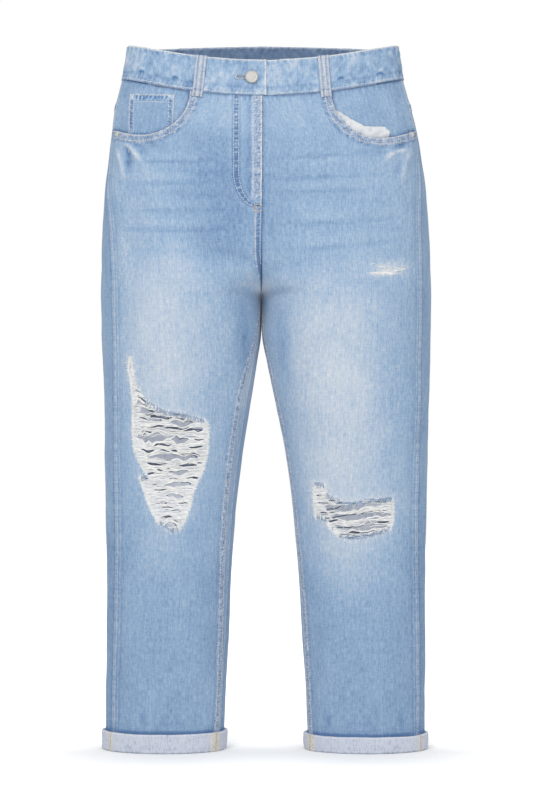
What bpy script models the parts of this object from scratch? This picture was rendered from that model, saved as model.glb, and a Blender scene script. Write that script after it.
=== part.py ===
"""Ripped five-pocket jeans with turned-up cuffs, filled out and upright as if worn, with no wearer.

Every piece of cloth is cut flat as a pattern, in places around and down the garment, and is then bent
onto one form, which the section table below gives. Pieces that lie on each other share their points.
Right and left are the wearer's: the right leg is at -X. The front faces -Y and +Z is up. The origin is
in the middle of the waistband's ring, at half its height at the sides, where a wearer's waist holds it.
"""

import math

import bmesh
import bpy
import numpy as np
from mathutils import Matrix, Vector
from mathutils.geometry import delaunay_2d_cdt

# Sizes are in millimetres and become metres when an object is made.
MM = 0.001
RIGHT, LEFT = -1, 1

DENIM, LIGHT_CLOTH = 1.2, 1.0
GAP = 0.3
RIM, WAIST_SEAM, HEM = 22.5, -22.0, -889.0
CROTCH, CROTCH_ARC = -300.0, 75.0
COLUMNS = 10
TRUNK_POWER = 2.4  # how square the trunk is, seen from above: 2 is an ellipse
SPAN = 600.0  # millimetres around the form for one half turn, about what they are at the hips

# The form. At each level: the middle seam's x, each leg's nearest point's distance from it, the right and
# left sides' distance from x = 0, the front's and back's y, how full the seat is, and how far the front
# dips below that level and the back rises above it in the middle.
FORM_COLUMNS = ("level", "centre", "inner", "right", "left", "front", "back", "seat", "dip", "rise")
FORM = (
    (40.0, -3.8, 0.2, 176.0, 170.0, -57.0, 61.0, 0.0, 25.0, 10.5),
    (-22.0, -3.8, 0.2, 187.0, 179.0, -66.0, 72.0, 0.0, 28.0, 10.0),
    (-55.0, -3.8, 0.2, 194.5, 187.5, -74.0, 80.0, 1.0, 21.0, 8.0),
    (-90.0, -3.8, 0.2, 200.0, 196.5, -81.0, 88.0, 3.0, 13.0, 6.0),
    (-130.0, -3.8, 0.2, 204.5, 203.5, -87.0, 94.0, 6.0, 6.0, 3.0),
    (-177.0, -4.0, 0.2, 210.0, 210.0, -92.0, 98.0, 8.0, 2.0, 1.0),
    (-250.0, -5.0, 0.2, 213.0, 214.0, -97.0, 98.0, 11.0, 0.0, 0.0),
    (-300.0, -5.5, 0.4, 214.0, 215.0, -95.0, 91.0, 6.0, 0.0, 0.0),
    (-345.0, -5.5, 1.0, 213.0, 215.0, -90.0, 86.0, 0.0, 0.0, 0.0),
    (-385.0, -4.5, 7.0, 211.5, 214.0, -85.0, 80.0, 0.0, 0.0, 0.0),
    (-437.0, -3.0, 16.0, 210.0, 212.5, -80.0, 73.0, 0.0, 0.0, 0.0),
    (-502.0, -2.0, 27.0, 209.0, 210.5, -73.0, 65.0, 0.0, 0.0, 0.0),
    (-567.0, -1.3, 35.5, 207.5, 209.5, -67.0, 59.0, 0.0, 0.0, 0.0),
    (-632.0, -1.0, 41.0, 206.0, 208.0, -61.0, 54.0, 0.0, 0.0, 0.0),
    (-697.0, -0.5, 45.5, 206.0, 207.5, -56.0, 50.0, 0.0, 0.0, 0.0),
    (-827.0, 0.0, 52.5, 208.0, 207.0, -50.0, 45.0, 0.0, 0.0, 0.0),
    (-900.0, 0.0, 55.5, 207.0, 206.0, -48.0, 43.0, 0.0, 0.0, 0.0),
)

# How far in front of the garment's outline each long seam lies, seen from the front.
SEAM_COLUMNS = ("level", "outseam_right", "outseam_left", "inseam_right", "inseam_left")
SEAMS = (
    (40.0, 2.0, 3.0, 0.0, 0.0),
    (-90.0, 2.0, 3.0, 0.0, 0.0),
    (-150.0, 5.0, 8.0, 0.0, 0.0),
    (-220.0, 14.0, 15.0, 0.0, 0.0),
    (-300.0, 20.0, 16.5, 0.0, 0.0),
    (-360.0, 20.0, 16.5, 2.0, 0.5),
    (-437.0, 18.0, 16.0, 6.0, 1.0),
    (-567.0, 16.5, 15.5, 6.0, 1.0),
    (-700.0, 14.0, 12.5, 5.0, 1.5),
    (-900.0, 11.0, 10.0, 6.0, 2.0),
)

# Front pockets: the rivet's corner, the lowest point of the scoop, and where it meets the waist seam.
POCKETS = {
    RIGHT: {"corner": (-194.5, -89.0), "low": (-154.0, -99.5), "top": (-96.0, -43.0)},
    LEFT: {"corner": (191.5, -90.0), "low": (141.0, -104.0), "top": (84.0, -45.0)},
}
FACING_UNDER = 12.0  # how far the pocket's facing runs on under the front
FACING_RISE = 30.0  # the facing comes up flush with the back over this width at the side seam
COIN = {"inner": -116.0, "outer": -175.0, "top": -45.5, "deep": 62.0}
# The upper edge of the pocket bag that has worked its way out of the left pocket.
BAG_EDGE = ((88.5, -68.0), (107.0, -79.5), (125.0, -89.5), (152.0, -89.0), (158.5, -95.0))
BAG_FROM, BAG_TO, BAG_UNDER = 89.0, 158.0, 8.0

SHIELD_WIDTH, SHIELD_END = 36.0, -186.0
SHIELD_LAP, SHIELD_CLEAR = 12.0, 0.3  # how far it runs on under the left front, and how clear of it

BAND_LIFT, BAND_THICK, BAND_GAP = 1.0, 2.6, 0.8
BAND_UNDERLAP = 40.0
BAND_OVERLAP = 5.0  # how far its upper end runs past the middle
BAND_STEP = (26.0, 12.0)  # where it starts to pass under that end, and where it is under it
BUTTON_X, BUTTON_R, SHANK_R, BUTTON_CAP = -17.5, 8.0, 2.2, 3.6
BUTTONHOLE = {"from": -37.0, "to": -14.4, "height": 6.2}
RIVET_R, RIVET_CAP = 3.8, 1.5
RIVET_IN, RIVET_DOWN = 4.5, 6.0  # its middle, from the pocket's corner

LOOP_WIDTH, LOOP_THICK, LOOP_TAIL = 13.0, 1.8, 8.0
# Belt loops: on the front or back, x at the rim and x at the lower end.
LOOPS = {
    "belt_loop_front_right": ("front", -81.0, -87.0),
    "belt_loop_front_left": ("front", 73.0, 77.5),
    "belt_loop_back_right": ("back", -108.0, -112.0),
    "belt_loop_back_left": ("back", 108.0, 112.0),
    "belt_loop_back_centre": ("back", -3.5, -3.5),
}

# The yoke's seam and the back pockets, in x and z seen from behind: outer side, then towards the middle.
YOKE_SIDE, YOKE_MIDDLE = -52.0, -76.0
BACK_POCKET = {
    "inner": 32.0, "width": 140.0, "top_side": -84.0, "top_middle": -97.0, "depth": 138.0, "point": 8.0,
    "taper_inner": 6.0, "taper_outer": 4.0, "rise_outer": 14.0,
}

CUFF_TOPS, CUFF_THICK = {RIGHT: -864.0, LEFT: -867.5}, 4.6

# The torn holes, as x and z seen from the front.
RIP_RIGHT = (
    (-172, -381), (-167, -397), (-163, -416), (-149, -438), (-127, -451), (-103, -455), (-78, -462),
    (-73, -470), (-74, -497), (-79, -522), (-92, -552), (-96, -569), (-102, -588), (-110, -602),
    (-118, -606), (-135, -594), (-144, -577), (-152, -556), (-159, -535), (-150, -533), (-158, -518),
    (-166, -501), (-168, -477), (-167.5, -441), (-169, -416), (-174, -396),
)
RIP_LEFT = (
    (62.5, -542), (74.5, -544), (77, -556), (88, -562), (99, -568), (117, -567), (133, -563), (148, -563),
    (161, -561), (161.5, -579), (162, -590), (158, -601), (148, -607), (133, -610), (119, -613), (104, -614),
    (94, -611), (84, -601), (79, -592), (65, -588), (63.5, -572), (62, -558),
)
# Gaps between the white threads left across each hole: x, z, half their length and height, and slope.
THREAD_GAPS = {
    RIGHT: (
        (-144, -484, 19, 6.0, -0.10), (-108, -487, 11, 4.5, 0.0), (-118, -509, 32, 4.0, -0.04),
        (-110, -528, 13, 2.5, 0.1), (-112, -545, 18, 3.2, -0.03), (-115, -560, 11, 3.0, 0.0),
        (-118, -579, 11, 2.4, 0.0), (-120, -597, 7, 2.4, -0.2), (-140, -461, 9, 2.6, -0.35),
        (-106, -466, 14, 3.2, 0.0),
    ),
    LEFT: (
        (116, -574, 31, 4.2, 0.12), (124, -585, 32, 3.6, 0.12), (122, -597.5, 28, 3.0, 0.12),
        (73, -569, 6, 2.2, -0.1),
    ),
}
THREAD_EDGE, THREAD_SUNK = 0.35, 0.1
COLOURS = {
    "denim": ((0.30, 0.42, 0.62), 0.85, 0.0),
    "denim_reverse": ((0.51, 0.55, 0.64), 0.9, 0.0),
    "pocket_cloth": ((0.82, 0.83, 0.84), 0.9, 0.0),
    "white_thread": ((0.84, 0.85, 0.86), 0.9, 0.0),
    "metal": ((0.58, 0.56, 0.55), 0.35, 1.0),
}


# ---- the form ----


def hermite(table, names, name, level):
    """A column of a table at any level, on a smooth curve through its rows that never overshoots."""
    rows = np.array(table, float)[::-1]
    x, y = rows[:, 0], rows[:, names.index(name)]
    step, rise = np.diff(x), np.diff(y)
    slope = rise / step
    product = slope[:-1] * slope[1:]
    total = np.where(np.abs(slope[:-1] + slope[1:]) < 1e-9, 1.0, slope[:-1] + slope[1:])
    inside = np.where(product > 0, 2 * product / total, 0.0)
    tangent = np.concatenate([slope[:1], inside, slope[-1:]])
    level = np.clip(np.asarray(level, float), x[0], x[-1])
    i = np.clip(np.searchsorted(x, level, side="right") - 1, 0, len(step) - 1)
    t = (level - x[i]) / step[i]
    from_here = y[i] * (2 * t**3 - 3 * t**2 + 1) + tangent[i] * step[i] * (t**3 - 2 * t**2 + t)
    return from_here + y[i + 1] * (3 * t**2 - 2 * t**3) + tangent[i + 1] * step[i] * (t**3 - t**2)


def smoothstep(t):
    t = np.clip(t, 0.0, 1.0)
    return t * t * (3 - 2 * t)


def trunk_share(level):
    """0 in the legs, 1 in the trunk, and between them the quarter circle that the crotch seam follows."""
    s = np.clip((np.asarray(level, float) - CROTCH) / CROTCH_ARC, 0.0, 1.0)
    return np.sqrt(1 - (1 - s) ** 2)


def column(name, level):
    return hermite(FORM, FORM_COLUMNS, name, level)


def outer_of(side, level):
    return column("right" if side == RIGHT else "left", level)


def form(side, turn, level):
    """Points of the outer surface. turn runs from 0 at the front's inner edge, over 0.5 at the side, to 1."""
    turn, level = np.broadcast_arrays(np.asarray(turn, float), np.asarray(level, float))
    names = ("centre", "inner", "front", "back", "seat", "dip", "rise")
    centre, inner, front, back, seat, dip, rise = (column(name, level) for name in names)
    outer = outer_of(side, level)
    near = trunk_share(level)
    turn = np.where((near == 0) & (turn > 1), turn - 1, turn)
    sine = np.abs(np.sin(math.pi * turn))
    across = sine**2 + smoothstep((level - CROTCH) / CROTCH_ARC) * (sine - sine**2)
    x = centre + side * (inner + (outer - side * centre - inner) * across)
    leg_depth = 2 * np.sqrt(across * (1 - across))
    trunk_depth = np.maximum(0, 1 - across**TRUNK_POWER) ** (1 / TRUNK_POWER)
    share = near + (smoothstep((level - CROTCH + 90) / 190) - near) * smoothstep(across / 0.4)
    depth = leg_depth + share * (trunk_depth - leg_depth)
    is_front = turn < 0.5
    y = (front + back) / 2 + np.where(is_front, -1, 1) * (back - front) / 2 * depth
    y = y + np.where(is_front, 0, seat * 16 * (across * (1 - across)) ** 2)
    from_side = 1 - ((x - centre) / (outer - side * centre)) ** 2
    z = level + np.where(is_front, -dip, rise) * from_side
    return np.stack([x, y, z], axis=-1)


def outward(side, turn, level):
    """Unit normals of the form, out of the cloth. Steps keep off the crotch, where the form has a corner."""
    turn, level = np.broadcast_arrays(np.asarray(turn, float), np.asarray(level, float))
    little, in_trunk = 2e-3, level > CROTCH - 0.5
    turn = np.where(in_trunk, np.clip(turn, 3 * little, 1 - 3 * little), turn)
    before, after = turn - little, turn + little
    before, after = (np.where(in_trunk, t, t % 1) for t in (before, after))
    lower = np.where(in_trunk, np.maximum(level - 1, CROTCH + 0.5), np.minimum(level - 1, CROTCH - 2.5))
    around_form = form(side, after, lower + 1) - form(side, before, lower + 1)
    down = form(side, turn, lower) - form(side, turn, lower + 2)
    normal = np.cross(down, around_form) * side
    at_corner = in_trunk & (level < CROTCH + 0.5) & (np.abs(turn - 0.5) > 0.49)
    normal[..., 1] = np.where(at_corner, 0.0, normal[..., 1])
    return normal / np.linalg.norm(normal, axis=-1, keepdims=True)


def turn_at(side, x, level, low=0.0, high=0.5):
    """Where around the form its x is this, on the front, or on the back from 1 down to 0.5."""
    x, level = np.broadcast_arrays(np.asarray(x, float), np.asarray(level, float))
    low, high = np.full(x.shape, low), np.full(x.shape, high)
    for _ in range(30):
        half = (low + high) / 2
        short = side * (form(side, half, level)[..., 0] - x) < 0
        low, high = np.where(short, half, low), np.where(short, high, half)
    return (low + high) / 2


def on_front(side, points):
    """Points seen from the front, as x and z, in the flat places of a pattern: millimetres around, level."""
    return flat_of(side, points, 0.0)


def on_back(side, points):
    return flat_of(side, points, 1.0)


def flat_of(side, points, inner_turn):
    x, z = np.array(points, float).T
    level = z.copy()
    for _ in range(6):
        turn = turn_at(side, x, level, inner_turn, 0.5)
        level += z - form(side, turn, level)[:, 2]
    return np.stack([turn * SPAN, level], axis=1)


def outseam(side, level):
    """Where around the form the side seam is."""
    name = "outseam_right" if side == RIGHT else "outseam_left"
    back_from = hermite(SEAMS, SEAM_COLUMNS, name, level)
    return turn_at(side, side * (outer_of(side, level) - back_from), level)


def inseam(side, level):
    """Where around a leg its inner seam is: 0 in the trunk, where this is the middle seam."""
    name = "inseam_right" if side == RIGHT else "inseam_left"
    back_from = hermite(SEAMS, SEAM_COLUMNS, name, level)
    half = (outer_of(side, level) - side * column("centre", level) - column("inner", level)) / 2
    return np.arccos(1 - back_from / half) / (2 * math.pi)


def around(side, panel, share, level):
    """Where around the form a share of a panel's width is, from the front's inner seam to the back's."""
    first, last = inseam(side, level), outseam(side, level)
    if panel == "back":
        first, last = last, 1 + first
    return first + share * (last - first)


# ---- cutting flat patterns ----


def crotch_levels(steps=6):
    """Levels up the crotch's quarter circle, close together where it runs level."""
    return [CROTCH + CROTCH_ARC * (1 - math.cos(math.radians(90 * i / steps))) for i in range(1, steps)]


def rows(side):
    """The levels of the points of a leg panel, from its top edge to its bottom edge."""
    hips = [-36.0, YOKE_SIDE, -70.0, corner_level(side), -110.0, -134.0, -162.0, -192.0]
    legs = [-312.0, -330.0, -355.0, -385.0]
    shin = list(np.linspace(-425.0, -845.0, 9))
    found = hips + [CROTCH + CROTCH_ARC] + crotch_levels()[::-1] + [CROTCH] + legs + shin
    return [WAIST_SEAM - GAP / 2] + found + [HEM + 2.5]


def corner_level(side):
    """The level of the front pocket's corner at the side seam."""
    return float(on_front(side, [POCKETS[side]["corner"]])[0, 1])


def dense(points, step):
    """A closed outline with points no further apart than step."""
    points = np.asarray(points, float)
    found = []
    for a, b in zip(points, np.roll(points, -1, axis=0)):
        n = max(1, math.ceil(np.linalg.norm(b - a) / step))
        found += [a + (b - a) * i / n for i in range(n)]
    return np.array(found)


def twice_area(outline):
    """Above 0 for an outline that runs anticlockwise."""
    x, y = np.asarray(outline, float).T
    return np.sum(x * np.roll(y, -1) - y * np.roll(x, -1))


def inset(points, by):
    """A closed outline moved in by a distance."""
    points = np.asarray(points, float)
    ahead = np.roll(points, -1, axis=0) - points
    ahead /= np.linalg.norm(ahead, axis=1, keepdims=True)
    behind = np.roll(ahead, 1, axis=0)
    left = np.stack([-(ahead + behind)[:, 1], (ahead + behind)[:, 0]], axis=1)
    left *= math.copysign(1.0, twice_area(points))
    reach = np.maximum(0.35, np.sum(left * left, axis=1) / 2)
    return points + left / reach[:, None] * by


def far_from(points, outlines, least):
    """Those of the points that are at least this far from every outline."""
    keep = np.ones(len(points), bool)
    for outline in outlines:
        for a, b in zip(outline, np.roll(outline, -1, axis=0)):
            along = b - a
            t = np.clip((points - a) @ along / max(along @ along, 1e-9), 0, 1)
            keep &= np.linalg.norm(points - a - t[:, None] * along, axis=1) >= least
    return points[keep]


def triangulate(outlines, lattice):
    """Fills named outlines with triangles on one shared set of points. Returns the points, the triangles,
    and for each name which triangles lie in it."""
    corners, faces = [], []
    for outline in outlines.values():
        if twice_area(outline) < 0:
            outline = outline[::-1]
        faces.append(list(range(len(corners), len(corners) + len(outline))))
        corners += [Vector(p) for p in outline]
    loose = [Vector(p) for p in lattice]
    points, _, triangles, _, _, sources = delaunay_2d_cdt(corners + loose, [], faces, 0, 1e-4)
    inside = {name: np.array([i in s for s in sources]) for i, name in enumerate(outlines)}
    return np.array([tuple(p) for p in points]), np.array([tuple(t) for t in triangles]), inside


def panel_outline(side, panel, levels):
    """A whole leg panel's outline and the points within it, as millimetres around and level."""
    half_gap = GAP / 2 / SPAN
    shares = np.linspace(0, 1, COLUMNS + 1)
    grid = []
    for level in levels:
        turn = around(side, panel, shares, level)
        turn[0] += half_gap if panel == "back" or level < CROTCH + 1 else 0
        turn[-1] -= half_gap if panel == "front" or level < CROTCH + 1 else 0
        grid.append(np.stack([turn * SPAN, np.full(len(turn), level)], axis=1))
    grid = np.array(grid)
    edge = np.concatenate([grid[0], grid[1:, -1], grid[-1, -2::-1], grid[-2:0:-1, 0]])
    return edge, grid[1:-1, 1:-1].reshape(-1, 2)


# ---- making solids ----


def material(name):
    if name in bpy.data.materials:
        return bpy.data.materials[name]
    colour, roughness, metallic = COLOURS[name]
    made = bpy.data.materials.new(name)
    made.use_nodes = True
    shader = made.node_tree.nodes["Principled BSDF"]
    shader.inputs["Base Color"].default_value = (*colour, 1.0)
    shader.inputs["Roughness"].default_value = roughness
    shader.inputs["Metallic"].default_value = metallic
    return made


def add_object(name, points, faces, finish, smooth=True):
    mesh = bpy.data.meshes.new(name)
    mesh.from_pydata([tuple(p) for p in np.asarray(points) * MM], [], [tuple(f) for f in faces])
    mesh.validate()
    if smooth:
        mesh.shade_smooth()
        mesh.set_sharp_from_angle(angle=math.radians(40))
    mesh.materials.append(material(finish))
    obj = bpy.data.objects.new(name, mesh)
    bpy.context.scene.collection.objects.link(obj)
    return obj


def thicken(name, outer, normals, triangles, thick, finish):
    """A wall of cloth: the outer surface's triangles, the same ones moved in, and an edge round both."""
    used, triangles = np.unique(triangles, return_inverse=True)
    triangles = triangles.reshape(-1, 3)
    outer, normals = outer[used], normals[used]
    a, b, c = (outer[triangles[:, i]] for i in range(3))
    if np.sum(np.cross(b - a, c - a) * normals[triangles[:, 0]]) < 0:
        triangles = triangles[:, ::-1]
    count = len(outer)
    ends = np.concatenate([triangles[:, [0, 1]], triangles[:, [1, 2]], triangles[:, [2, 0]]])
    directed = {tuple(e) for e in ends}
    rim = [(a, b) for a, b in directed if (b, a) not in directed]
    faces = [tuple(t) for t in triangles] + [tuple(t[::-1] + count) for t in triangles]
    for a, b in sorted(rim):
        faces += [(b, a, a + count), (b, a + count, b + count)]
    return add_object(name, np.concatenate([outer, outer - normals * thick]), faces, finish)


def cloth(name, side, points, triangles, lift, thick, finish="denim"):
    """A piece of cloth bent onto the form, with its outer surface this far out of it."""
    turn, level = points[:, 0] / SPAN, points[:, 1]
    normals = outward(side, turn, level)
    outer = form(side, turn, level) + normals * np.reshape(lift, (-1, 1))
    return thicken(name, outer, normals, triangles, thick, finish)


def grid_cloth(name, stations, levels, lifts, thick, finish="denim"):
    """Cloth over a grid of stations, each a side of the form and a place around it, with a lift for each."""
    normals, outer = [], []
    for (side, turn), lift in zip(stations, lifts):
        normals.append(outward(side, turn, np.array(levels)))
        outer.append(form(side, turn, np.array(levels)) + normals[-1] * lift)
    rows_count = len(levels)
    triangles = []
    for i in range(len(stations) - 1):
        for j in range(rows_count - 1):
            a = i * rows_count + j
            b = a + rows_count
            triangles += [(a, b, b + 1), (a, b + 1, a + 1)]
    return thicken(name, np.concatenate(outer), np.concatenate(normals), np.array(triangles), thick, finish)


def turned(name, profile, place, direction, finish, steps=20):
    """A round solid: a profile of radius and height, spun about direction."""
    bm = bmesh.new()
    corners = [bm.verts.new((r * MM, 0, h * MM)) for r, h in profile]
    edges = [bm.edges.new(pair) for pair in zip(corners, corners[1:])]
    bmesh.ops.spin(bm, geom=corners + edges, cent=(0, 0, 0), axis=(0, 0, 1), angle=math.tau, steps=steps)
    bmesh.ops.remove_doubles(bm, verts=bm.verts, dist=1e-6)
    bmesh.ops.recalc_face_normals(bm, faces=bm.faces)
    mesh = bpy.data.meshes.new(name)
    bm.to_mesh(mesh)
    bm.free()
    mesh.shade_smooth()
    mesh.set_sharp_from_angle(angle=math.radians(40))
    mesh.materials.append(material(finish))
    obj = bpy.data.objects.new(name, mesh)
    bpy.context.scene.collection.objects.link(obj)
    rotation = Vector(direction).to_track_quat("Z", "Y").to_matrix().to_4x4()
    obj.matrix_world = Matrix.Translation(Vector(place) * MM) @ rotation
    return obj


# ---- the pieces ----


def scoop(side, count=14):
    """The front pocket's opening, in x and z from the rivet's corner to the waist seam."""
    corner, low, top = (np.array(POCKETS[side][k]) for k in ("corner", "low", "top"))
    outer = [low + (corner - low) * np.array([t, t * t]) for t in (1.0, 0.75, 0.5, 0.25)]
    angles = np.linspace(0, math.pi / 2, count - 4)
    inner = [low + (top - low) * np.array([math.sin(a), 1 - math.cos(a)]) for a in angles]
    return np.array(outer + inner)


def front_pieces(side):
    """The front of a leg, its pocket's facing and what lies on or in it, all on one set of points."""
    name = "right" if side == RIGHT else "left"
    levels = rows(side)
    top = levels[0]
    whole, lattice = panel_outline(side, "front", levels)
    mouth = on_front(side, scoop(side))
    mouth[:, 1] = np.minimum(mouth[:, 1], top)
    mouth[-1, 1] = top
    corner = mouth[0, 1]
    side_edge = np.array([(outseam(side, v) * SPAN - GAP / 2, v) for v in levels if v > corner - 1])
    mouth[0] = side_edge[-1]
    mouth = np.concatenate([mouth[0] + (mouth[1] - mouth[0]) * np.array([[0], [0.35], [0.7]]), mouth[1:]])
    below = whole[(whole[:, 1] < corner - 3) | (whole[:, 0] < mouth[-1, 0] - 4)]
    cut = int(np.argmax(below[:, 1] < corner - 3))
    panel = np.concatenate([below[:cut], mouth[::-1], below[cut:]])

    distance = mouth[0, 0] - mouth[:, 0]
    under = -GAP + (FACING_UNDER + GAP) * smoothstep((distance / FACING_RISE - 0.55) / 0.6)
    lower = mouth.copy()
    lower[:, 1] -= under
    away = np.array([[-FACING_UNDER, 0.0]])
    lower[-5:] += away * np.linspace(0.2, 1, 5)[:, None]
    lower[-1, 1] = top
    between = (whole[:, 0] > lower[-1, 0] + 4) & (whole[:, 0] < side_edge[0, 0] - 4)
    across_top = whole[(whole[:, 1] == top) & between]
    shoulder = side_edge - [FACING_RISE, 0]
    facing = np.concatenate([lower, across_top, shoulder[:1], side_edge[:-1]])

    outlines = {"panel": panel, "facing": facing}
    rip = dense(on_front(side, RIP_RIGHT if side == RIGHT else RIP_LEFT), 14.0)
    outlines["rip"] = rip
    if side == RIGHT:
        low_edge = COIN["top"] - COIN["deep"]
        box = [(COIN["outer"], COIN["top"] + 2), (COIN["inner"], COIN["top"] - 2)]
        coin = [(COIN["inner"] - 1, low_edge), (COIN["outer"] - 1, low_edge + 6)]
        outlines["on_facing"] = clipped(dense(on_front(side, box + coin), 16.0), mouth, FACING_UNDER - 3)
    else:
        lower_bag = [(x, z - BAG_UNDER) for x, z in scoop(side) if BAG_FROM < x < BAG_TO]
        outlines["on_facing"] = dense(on_front(side, list(BAG_EDGE) + lower_bag), 14.0)
    lattice = np.concatenate([far_from(lattice, list(outlines.values()) + [shoulder], 6.0), shoulder[1:]])
    points, triangles, inside = triangulate(outlines, lattice)
    cloth(f"front_{name}", side, points, triangles[inside["panel"] & ~inside["rip"]], 0.0, DENIM)

    from_side = outseam(side, points[:, 1]) * SPAN - points[:, 0]
    sunk = -(DENIM + 2 * GAP + LIGHT_CLOTH)
    lift = np.where(points[:, 1] > corner - 20, sunk * smoothstep(from_side / FACING_RISE), sunk)
    cloth(f"pocket_facing_{name}", side, points, triangles[inside["facing"]], lift, DENIM)
    if side == RIGHT:
        cloth("coin_pocket", side, points, triangles[inside["on_facing"]], -(DENIM + GAP), LIGHT_CLOTH)
    else:
        bag = triangles[inside["on_facing"]]
        cloth("pocket_bag_left", side, points, bag, -(DENIM + GAP), LIGHT_CLOTH, "pocket_cloth")
    rip_threads(side, rip, name)


def clipped(outline, mouth, under):
    """An outline kept from reaching further than this below the pocket's mouth."""
    order = np.argsort(mouth[:, 0])
    lowest = np.interp(outline[:, 0], mouth[order, 0], mouth[order, 1]) - under
    outline[:, 1] = np.maximum(outline[:, 1], lowest)
    return outline


def lens(x, z, half_length, half_height, slope, count=8):
    """A gap between two threads, pointed at both ends."""
    found = []
    for i in range(count):
        a = math.tau * i / count
        along = math.cos(a)
        high = math.sin(a) * math.sqrt(max(0.0, 1 - 0.75 * along * along))
        found.append((x + half_length * along, z + half_height * high + slope * half_length * along))
    return found


def rip_threads(side, rip, name):
    """The white weft left across a torn hole, as one thin wall with the larger gaps between its threads."""
    edge = inset(rip, THREAD_EDGE)
    outlines = {"whole": edge}
    for i, gap in enumerate(THREAD_GAPS[side]):
        outlines[f"gap{i}"] = on_front(side, lens(*gap))
    points, triangles, inside = triangulate(outlines, [])
    keep = inside["whole"]
    for i in range(len(THREAD_GAPS[side])):
        keep = keep & ~inside[f"gap{i}"]
    cloth(f"rip_threads_{name}", side, points, triangles[keep], -THREAD_SUNK, LIGHT_CLOTH, "white_thread")


def back_pieces(side):
    """The back of a leg, its yoke and its pocket."""
    name = "right" if side == RIGHT else "left"
    levels = rows(side)
    whole, lattice = panel_outline(side, "back", levels)
    line = yoke_line(side)
    above = whole[whole[:, 1] > np.interp(whole[:, 0], line[:, 0], line[:, 1]) + 5]
    under = whole[whole[:, 1] < np.interp(whole[:, 0], line[:, 0], line[:, 1]) - 5]
    low, high = line.copy(), line.copy()
    low[:, 1] -= GAP / 2
    high[:, 1] += GAP / 2
    outlines = {
        "yoke": loop_around(above, high[::-1]),
        "panel": loop_around(under, low),
    }
    pocket = BACK_POCKET
    inner, outer = side * pocket["inner"], side * (pocket["inner"] + pocket["width"])
    near = side * (pocket["inner"] + pocket["taper_inner"])
    far = side * (pocket["inner"] + pocket["width"] - pocket["taper_outer"])
    shape = [
        (inner, pocket["top_middle"]),
        (outer, pocket["top_side"]),
        (far, pocket["top_side"] - pocket["depth"] + pocket["rise_outer"]),
        ((near + far) / 2, pocket["top_middle"] - pocket["depth"] - pocket["point"]),
        (near, pocket["top_middle"] - pocket["depth"]),
    ]
    outlines["pocket"] = dense(on_back(side, shape), 24.0)
    points, triangles, inside = triangulate(outlines, far_from(lattice, list(outlines.values()), 6.0))
    cloth(f"yoke_{name}", side, points, triangles[inside["yoke"]], 0.0, DENIM)
    cloth(f"back_{name}", side, points, triangles[inside["panel"]], 0.0, DENIM)
    cloth(f"back_pocket_{name}", side, points, triangles[inside["pocket"]], GAP + DENIM, DENIM)


def yoke_line(side):
    """The yoke's seam, from the side seam down to the middle of the back."""
    turn = around(side, "back", np.linspace(0, 1, COLUMNS + 1), YOKE_SIDE)
    turn[0] += GAP / 2 / SPAN
    level = np.full(len(turn), YOKE_SIDE)
    for _ in range(6):
        x, _, z = form(side, turn, level).T
        inward = 1 - (x - column("centre", YOKE_SIDE)) / (x[0] - column("centre", YOKE_SIDE))
        level += z[0] + (YOKE_MIDDLE - z[0]) * inward - z
    level[0] = YOKE_SIDE
    return np.stack([turn * SPAN, level], axis=1)


def loop_around(kept, line):
    """A closed outline: the kept points of a panel's edge, in their order, then the line that closes it."""
    steps = np.linalg.norm(np.roll(kept, -1, axis=0) - kept, axis=1)
    kept = np.roll(kept, -(int(np.argmax(steps)) + 1), axis=0)
    if np.linalg.norm(kept[-1] - line[0]) > np.linalg.norm(kept[-1] - line[-1]):
        line = line[::-1]
    return np.concatenate([kept, line])


def waistband():
    """One strip from the fly's edge round the right side, the back and the left side, and on under itself."""
    steps = 22
    per_mm = 1 / (math.pi * outer_of(RIGHT, 0.0))
    lap = [0.0, BAND_UNDERLAP / 2 * per_mm, BAND_UNDERLAP * per_mm]
    ring = [t for t in np.linspace(0, 1, steps + 1) if t > lap[-1] + 0.02]
    under = -(BAND_THICK + BAND_GAP)
    stations = [(LEFT, BAND_OVERLAP * per_mm)] + [(RIGHT, t) for t in lap + ring]
    stations += [(LEFT, t) for t in ring[-2::-1]]
    lifts = [0.0] * len(stations)
    stations += [(LEFT, place * per_mm) for place in BAND_STEP] + [(RIGHT, t) for t in lap]
    lifts += [0.0, under, under, under, under]
    levels = [RIM, (RIM + WAIST_SEAM) / 2, WAIST_SEAM + GAP / 2]
    band = grid_cloth("waistband", stations, levels, [BAND_LIFT + v for v in lifts], BAND_THICK)
    hole = band.modifiers.new("buttonhole", "BOOLEAN")
    hole.object = buttonhole_cutter()
    hole.operation = "DIFFERENCE"


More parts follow.
